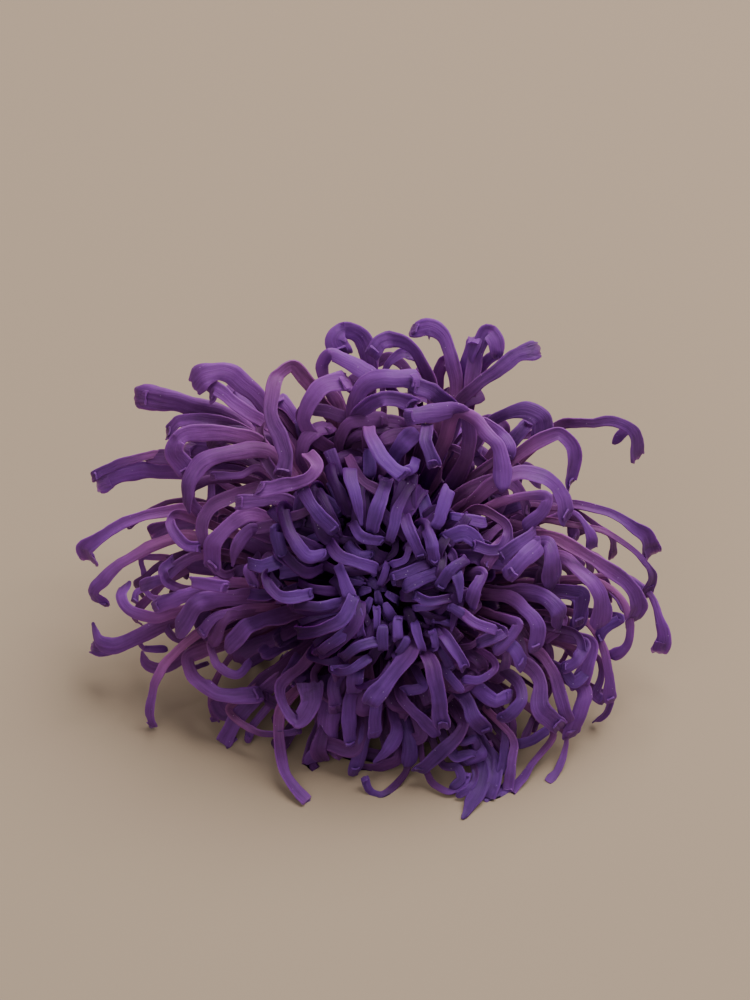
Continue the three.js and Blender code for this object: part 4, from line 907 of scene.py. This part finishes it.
def eye_florets():
    draw = seeded(EYE_SEED)
    for i in range(EYE_COUNT):
        a = math.radians(i * GOLDEN_ANGLE)
        r = EYE_SPREAD * math.sqrt(i + 0.4)
        z = EYE_DEPTH + EYE_RISE * r + 0.8 * draw()
        width = 1.15 + 0.25 * draw()
        run = [(0.9 * r, EYE_ROOTS), (1.25 * r, z - 1.4), (r, z), (r - EYE_HOOK, z + 0.1)]
        yield [around(reach, a, depth) for reach, depth in run], width, CUT


def skirt_florets():
    draw = seeded(SKIRT_SEED)
    for count, depth, shortest, longer, bend, top_reach, rise in SKIRT_ROWS:
        for i in range(count):
            a = math.radians(i * 360 / count + 9 * (draw() - 0.5))
            reach = shortest + longer * draw()
            drop = bend * varied(draw, 0.5)
            # at the top of the head they stand up instead
            top = ease((math.sin(a) - 0.1) / 0.5)
            reach += top * (top_reach * (0.85 + 0.2 * draw()) - reach)
            drop -= top * (drop + rise * varied(draw, 0.6))
            sway = SKIRT_SWAY * (draw() - 0.5)
            z = depth - 1.4 * draw()
            run = [
                (SKIRT_START, 0, 0),
                (reach * 0.66, 0.15 + 0.3 * top, 0.3),
                (reach, 0.85 + 0.1 * top, 1),
                (reach - 0.12 * drop, 1.25 - 0.5 * top, 1.2),
            ]
            points = [around(r, a, z - down * drop, off * sway) for r, down, off in run]
            yield points, 1.6 + 0.5 * draw(), CUT


def collar_florets():
    draw = seeded(COLLAR_SEED)
    for i in range(COLLAR_COUNT):
        a = 2 * math.pi * (i + 0.4 * draw()) / COLLAR_COUNT
        longer, higher = COLLAR_LONGER * draw(), COLLAR_HIGHER * draw()
        sway = COLLAR_SWAY * (draw() - 0.5)
        run = [around(r + own * longer, a + own * sway, z + own * higher) for r, z, own in COLLAR_RUN]
        yield run, 2.0 + 0.5 * draw(), CUT


def parted(x, y):
    """Whether a point of the face lies in one of the partings."""
    a, r = math.degrees(math.atan2(y, x)) % 360, math.hypot(x, y)
    return any(near < r < far and (low < a < high or a + 360 < high) for low, high, near, far in PARTINGS)


def echoes(lines, seed, turns, shrink, deeper, narrower=0.9):
    """For each listed floret, others a little behind it and turned aside, that run the same way."""
    draw = seeded(seed)
    for width, first, tip, arch, kind, *xy in lines:
        for turn in turns:
            a = math.radians(turn * varied(draw, 0.6))
            size = shrink * varied(draw, 0.14)
            down = deeper * varied(draw, 0.6)
            slimmer = width * narrower * varied(draw, 0.3)
            c, s = math.cos(a) * size, math.sin(a) * size
            turned = [part for x, y in zip(xy[::2], xy[1::2]) for part in (x * c - y * s, x * s + y * c)]
            if not parted(*turned[-2:]):
                yield from by_hand([[slimmer, first - down, tip - down, arch, kind, *turned]])


def undercoat():
    """Shafts behind the listed florets, so no light comes through the middle of the head."""
    draw = seeded(UNDERCOAT_SEED)
    for count, reach, longer, depth, deeper, hook, width in UNDERCOAT_ROWS:
        for i in range(count):
            a = math.radians(360 * (i + 0.6 * draw()) / count)
            r = reach + longer * draw()
            z = depth - deeper * draw()
            turned = a + UNDERCOAT_TURN * (draw() - 0.5)
            knee = around(r, a, z)
            tip = around(r + hook * (draw() - 0.35), turned, z - hook * (0.4 + 0.8 * draw()))
            wide = width * varied(draw, 0.3)
            if reach < INNER_REACH and parted(knee.x, knee.y):
                continue
            before = knee * KNEE_SHARE - Vector((0, 0, KNEE_DROP))
            yield from_hub([before, knee, tip], wide, CUT), wide, CUT


grow("florets_eye", eye_florets(), 16, 15, Habit(0.0, 0.05, 0.9, 0.1, 0.9))
# The second layer, the florets behind and the bare shafts inside get less painted light, so their colour is
# darkened with painted shade.
between = echoes(CROWN, 23, (17, -21), 1.0, 1.7)
grow("florets_between", between, 16, 17, Habit(0.0, 0.05, 0.5, 0.1, 0.9, 0.28))
outer = UPPER_LEFT + TOP + UPPER_RIGHT + RIGHT + RIGHT_INNER + LEFT + BOTTOM
behind = echoes(outer, 31, (8,), 0.82, 2.6, 0.78)
grow("florets_behind", behind, 16, 19, Habit(0.3, 0.08, 0.6, 0.1, 0.8, 0.4))
grow("florets_inside", undercoat(), 14, 18, Habit(0.15, 0.05, 0.6, 0.1, 0.8, 0.32))
under = [*skirt_florets(), *collar_florets()]
grow("florets_under", under, 16, 16, Habit(0.6, 0.15, 0.3, 0.15, 0.9))

# ---------------------------------------------------------------------------- receptacle
# The florets grow from a low fleshy dome in the middle of the head. Their bases are packed over it so
# that it's never seen whole, only as the bottom of the eye; its colour is their dye darkened to near
# black as painted shade for the depth of the eye.
RECEPTACLE_RADIUS, RECEPTACLE_DEPTH, RECEPTACLE_BACK = 10.5, 10.5, 3.0
RECEPTACLE_SIDES, RECEPTACLE_STEPS = 40, 12
# the bases' dye, darkened to near black as painted shade
BASES_DYE_AND_SHADE = (0.026, 0.003, 0.034)
SKIN_RADIUS, SLIM_RADIUS = 2.5, 4.5


def turn_round(name, outline, sides, rib_count=0, rib_depth=0.0):
    """A closed body turned round the head's axis from radii and depths, ribbed where it's slim."""
    places, skin = [], []
    for r, z in outline:
        for j in range(sides):
            t = 2 * math.pi * j / sides
            ribbed = r * (1 + rib_depth * math.cos(rib_count * t) * ease((SLIM_RADIUS - r) / 2))
            place = lay_down(ribbed * math.cos(t), ribbed * math.sin(t), z)
            place.z = max(place.z, TOUCHING)
            places.append(place)
            skin.append((SKIN_RADIUS * MM * math.cos(t), z * MM, SKIN_RADIUS * MM * math.sin(t)))
    last, faces = len(places) - sides, []
    for low in range(0, last, sides):
        for j in range(sides):
            n = (j + 1) % sides
            faces.append((low + j, low + n, low + sides + n, low + sides + j))
    mesh = bpy.data.meshes.new(name)
    mesh.from_pydata(places, [], [*faces, range(sides), range(last, len(places))])
    store(mesh, "strand", skin)
    return smooth_piece(name, mesh, 50)


dome = []
for k in range(RECEPTACLE_STEPS + 1):
    lean = math.pi / 2 - math.pi * k / RECEPTACLE_STEPS
    rise = RECEPTACLE_DEPTH if lean > 0 else RECEPTACLE_BACK
    dome.append((RECEPTACLE_RADIUS * max(math.cos(lean), 0.02), HUB.z + rise * math.sin(lean)))
receptacle = turn_round("receptacle", dome, RECEPTACLE_SIDES)
bases_finish, bases_shader = new_finish("packed floret bases")
pale = streaked(bases_finish.node_tree, Across=3200.0, Contrast=2.6)
# painted shade: the bases' near-black colour stands for the depth of the eye
base_colour = {0: BASES_DYE_AND_SHADE, 1: pale + 1.0}
base_colour = make(pale.tree, "ShaderNodeVectorMath", base_colour, operation="MULTIPLY")
packed = bump(pale.beside("Height"), 0.9, 0.0004)
fill(bases_shader, {"Base Color": base_colour, "Normal": packed, "Roughness": 0.8})
receptacle.data.materials.append(bases_finish)
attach(receptacle, "root")
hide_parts("bloom")

# ---------------------------------------------------------------------------- calyx dish and peduncle
# Behind the florets a shallow fleshy dish, dried olive brown and tinged by the dye, narrows into the
# ribbed peduncle. That was cut straight off, so its pale pith shows in the end.
CALYX_TOP, CALYX_RADIUS, CALYX_FLOOR = -25.5, 7.4, -31.2
PEDUNCLE_RADIUS, PEDUNCLE_END = 2.1, -35.5
PEDUNCLE_RIBS, PEDUNCLE_RIB_DEPTH = 7, 0.05
PITH_RADIUS, PITH_DEPTH = 1.25, 0.3
DISH_SIDES = 70
# radius and depth, from inside the rim to the peduncle's cut end, and then how pale the end is
DISH_FRONT = [
    (0.05, CALYX_TOP - 0.4),
    (CALYX_RADIUS * 0.6, CALYX_TOP - 0.3),
    (CALYX_RADIUS * 0.85, CALYX_TOP),
]
DISH_BACK = [
    (CALYX_RADIUS * 0.9, CALYX_TOP),
    (CALYX_RADIUS, CALYX_TOP - 1),
    (CALYX_RADIUS * 0.9, CALYX_TOP - 3),
    (CALYX_RADIUS * 0.62, CALYX_TOP - 4.6),
    (PEDUNCLE_RADIUS * 1.25, CALYX_FLOOR),
    (PEDUNCLE_RADIUS, CALYX_FLOOR - 1),
    (PEDUNCLE_RADIUS * 1.02, PEDUNCLE_END + 0.15),
]
CUT_END = [
    (PEDUNCLE_RADIUS * 0.93, PEDUNCLE_END),
    (PITH_RADIUS, PEDUNCLE_END),
    (PITH_RADIUS * 0.9, PEDUNCLE_END + PITH_DEPTH),
    (0.05, PEDUNCLE_END + PITH_DEPTH * 0.8),
]
STALK_PALENESS, END_PALENESS = [0.15] * 3, [0.7, 1.0, 1.0, 1.0]


def dried_green(name, root, tip, margin, roughness):
    """Dried calyx tissue, streaked: its colour runs from root to tip, with paler papery margins."""
    material, shader = new_finish(name)
    tree = material.node_tree
    along = ramp(attribute(tree, "reach"), (root, tip))
    base_colour = mixed(abs(attribute(tree, "side")) ** 4.0, along, (*margin, 1))
    pale = streaked(tree, Contrast=1.4)
    inputs = {
        "Base Color": base_colour * (attribute(tree, "tone") * 0.5 + 0.75 + pale),
        "Normal": bump(pale.beside("Height"), 0.7, 0.0001),
        "Roughness": roughness,
        "Specular IOR Level": 0.3,
    }
    fill(shader, inputs)
    return material


back = [(p.x, p.z) for p in smooth_path([Vector((r, 0, z)) for r, z in DISH_BACK])]
outline = DISH_FRONT + back + CUT_END
dish = turn_round("calyx_dish", outline, DISH_SIDES, PEDUNCLE_RIBS, PEDUNCLE_RIB_DEPTH)
ends = STALK_PALENESS + END_PALENESS
reaches = [share for share in [0.0] * (len(outline) - len(ends)) + ends for _ in range(DISH_SIDES)]
store(dish.data, "reach", reaches)
store(dish.data, "tone", [0.5] * len(reaches))
dish_colours = (0.075, 0.058, 0.034), (0.36, 0.29, 0.18), (0.2, 0.16, 0.1)
dish_finish = dried_green("dried dish", *dish_colours, 0.7)
dish.data.materials.append(dish_finish)
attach(dish, "root")
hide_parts("calyx")

# ---------------------------------------------------------------------------- calyx bracts
# Three rows of bracts lie over the dish like tiles, each a small pointed leaf, keeled down its middle and
# as thin as paper at the margins, which have dried pale and taken up some of the dye.
BRACT_ROWS = [
    # count, width, then radius and depth of the root, the belly and the tip
    (9, 3.3, 2.4, -31.0, 5.4, -30.7, 7.2, -28.9),
    (12, 3.2, 4.4, -29.7, 7.0, -29.1, 8.3, -27.2),
    (15, 3.0, 5.8, -27.9, 7.8, -27.4, 8.7, -25.9),
]
ROW_TURN, ROW_SEED = 0.37, 5
BRACT_THICKNESS, BRACT_LENGTH, KEEL_HEIGHT, CRINKLE = 0.42, 4.5, 0.22, 0.5
# shares of the width at the root and more at the tip, of the thickness less at the margins, how quickly
# the keel falls away, and in millimetres how far the margins curl in and the tip out
ROOT_WIDTH, TIP_WIDER, MARGIN_THINNER, KEEL_FALL, CUPPING, FLARING = 0.4, 0.35, -0.72, -40.0, -0.3, 0.3
BLADE = {"Size": (1, 1, 1), "Vertices X": 13, "Vertices Y": 19, "Vertices Z": 2}


def bract_tree():
    """Geometry Nodes: one row of bracts round the head's axis, in millimetres in the face frame."""
    inputs = {"Count": 9, "Turn": 0.0, "Seed": ROW_SEED, "Finish": "Material"}
    inputs |= {"Root": "Vector", "Belly": "Vector", "Tip": "Vector"}
    inputs |= {"Width": 3.0, "Thickness": BRACT_THICKNESS, "Keel Height": KEEL_HEIGHT, "Crinkle": CRINKLE}
    tree, given = new_group("row of bracts", "GeometryNodeTree", inputs, {"Bracts": "Geometry"})
    root, belly, tip = given["Root"], given["Belly"], given["Tip"]
    blade = make(tree, "GeometryNodeMeshCube", BLADE)
    at_x, at_y, at_z = make(tree, "GeometryNodeInputPosition").parts()
    x, s = at_x * 2.0, at_y + 0.5
    rest, square, cube = 1.0 - s, x * x, s**3.0
    # a parabola through the root, the belly and the tip, and the way it runs
    spine = root * (rest * (s * -2.0 + 1.0)) + belly * (s * rest * 4.0) + tip * (s * (s * 2.0 - 1.0))
    run = root * (s * 4.0 - 3.0) + tip * (s * 4.0 - 1.0) + belly * (s * -8.0 + 4.0)
    spine_r, _, spine_z = spine.parts()
    run_r, _, run_z = run.maths("NORMALIZE").parts()
    point = (1.0 - cube).maths("MAXIMUM", 0.004).maths("SQRT")
    half = (s * TIP_WIDER + ROOT_WIDTH) * given["Width"] * point
    keel = (square * KEEL_FALL).maths("EXPONENT") * given["Keel Height"] * rest
    lift = (square * MARGIN_THINNER + 1.0) * given["Thickness"] * at_z
    lift = lift + (keel + square * s * CUPPING + cube * FLARING)
    r, turned = lift * run_z + spine_r, x * half / spine_r
    spot = combined(tree, r * turned.maths("COSINE"), r * turned.maths("SINE"), spine_z - lift * run_r)
    strand = combined(tree, x * half, s * BRACT_LENGTH) * (MM, MM, MM)
    leaf = keep(keep(keep(blade, "strand", strand), "side", x), "reach", s)
    leaf = make(tree, "GeometryNodeSetPosition", {"Geometry": leaf, "Position": spot})

    def drawn(low, high, shift):
        inputs = {2: low, 3: high, "Seed": given["Seed"] + shift}
        return make(tree, "FunctionNodeRandomValue", inputs, 1, data_type="FLOAT")

    order = make(tree, "GeometryNodeInputIndex") + (given["Turn"] + drawn(-0.12, 0.12, 1.0))
    spread = drawn(0.97, 1.03, 2.0)
    row = {
        "Points": make(tree, "GeometryNodePoints", {"Count": given["Count"]}),
        "Instance": leaf,
        "Rotation": combined(tree, z=order / given["Count"] * (2 * math.pi)),
        "Scale": combined(tree, spread, spread, 1.0),
    }
    row = make(tree, "GeometryNodeInstanceOnPoints", row)
    row = keep(row, "tone", drawn(0.0, 1.0, 3.0), "INSTANCE")
    whole = make(tree, "GeometryNodeRealizeInstances", {"Geometry": row})
    crinkle = noise(make(tree, "GeometryNodeInputPosition"), 0.55, 2.0, "Color") - (0.5, 0.5, 0.5)
    crinkle = crinkle * (stored(tree, "reach", "FLOAT") * given["Crinkle"])
    whole = make(tree, "GeometryNodeSetPosition", {"Geometry": whole, "Offset": crinkle})
    end(whole, given["Finish"])
    return tree


BRACT_TREE = bract_tree()
bract_colours = (0.075, 0.068, 0.030), (0.105, 0.062, 0.070), (0.21, 0.15, 0.13)
bract_finish = dried_green("dried bract", *bract_colours, 0.62)
lie_down = (
    Matrix.Translation(lay_down(0, 0, 0))
    @ Matrix.Rotation(math.pi / 2 - FACE_ELEVATION, 4, "X")
    @ Matrix.Scale(MM, 4)
)
for number, (count, width, *places) in enumerate(BRACT_ROWS):
    values = {
        "Count": count,
        "Root": (places[0], 0.0, places[1]),
        "Belly": (places[2], 0.0, places[3]),
        "Tip": (places[4], 0.0, places[5]),
        "Width": width,
        "Turn": ROW_TURN * number,
        "Seed": ROW_SEED + number,
        "Finish": bract_finish,
    }
    mesh = plain_mesh(BRACT_TREE, bpy.data.meshes.new("bract_seed"), values)
    mesh.transform(lie_down)
    for vertex in mesh.vertices:
        vertex.co.z = max(vertex.co.z, TOUCHING)
    bracts = smooth_piece(f"calyx_bracts_{number + 1}", mesh, 55)
    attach(bracts, "root")
    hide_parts("calyx")
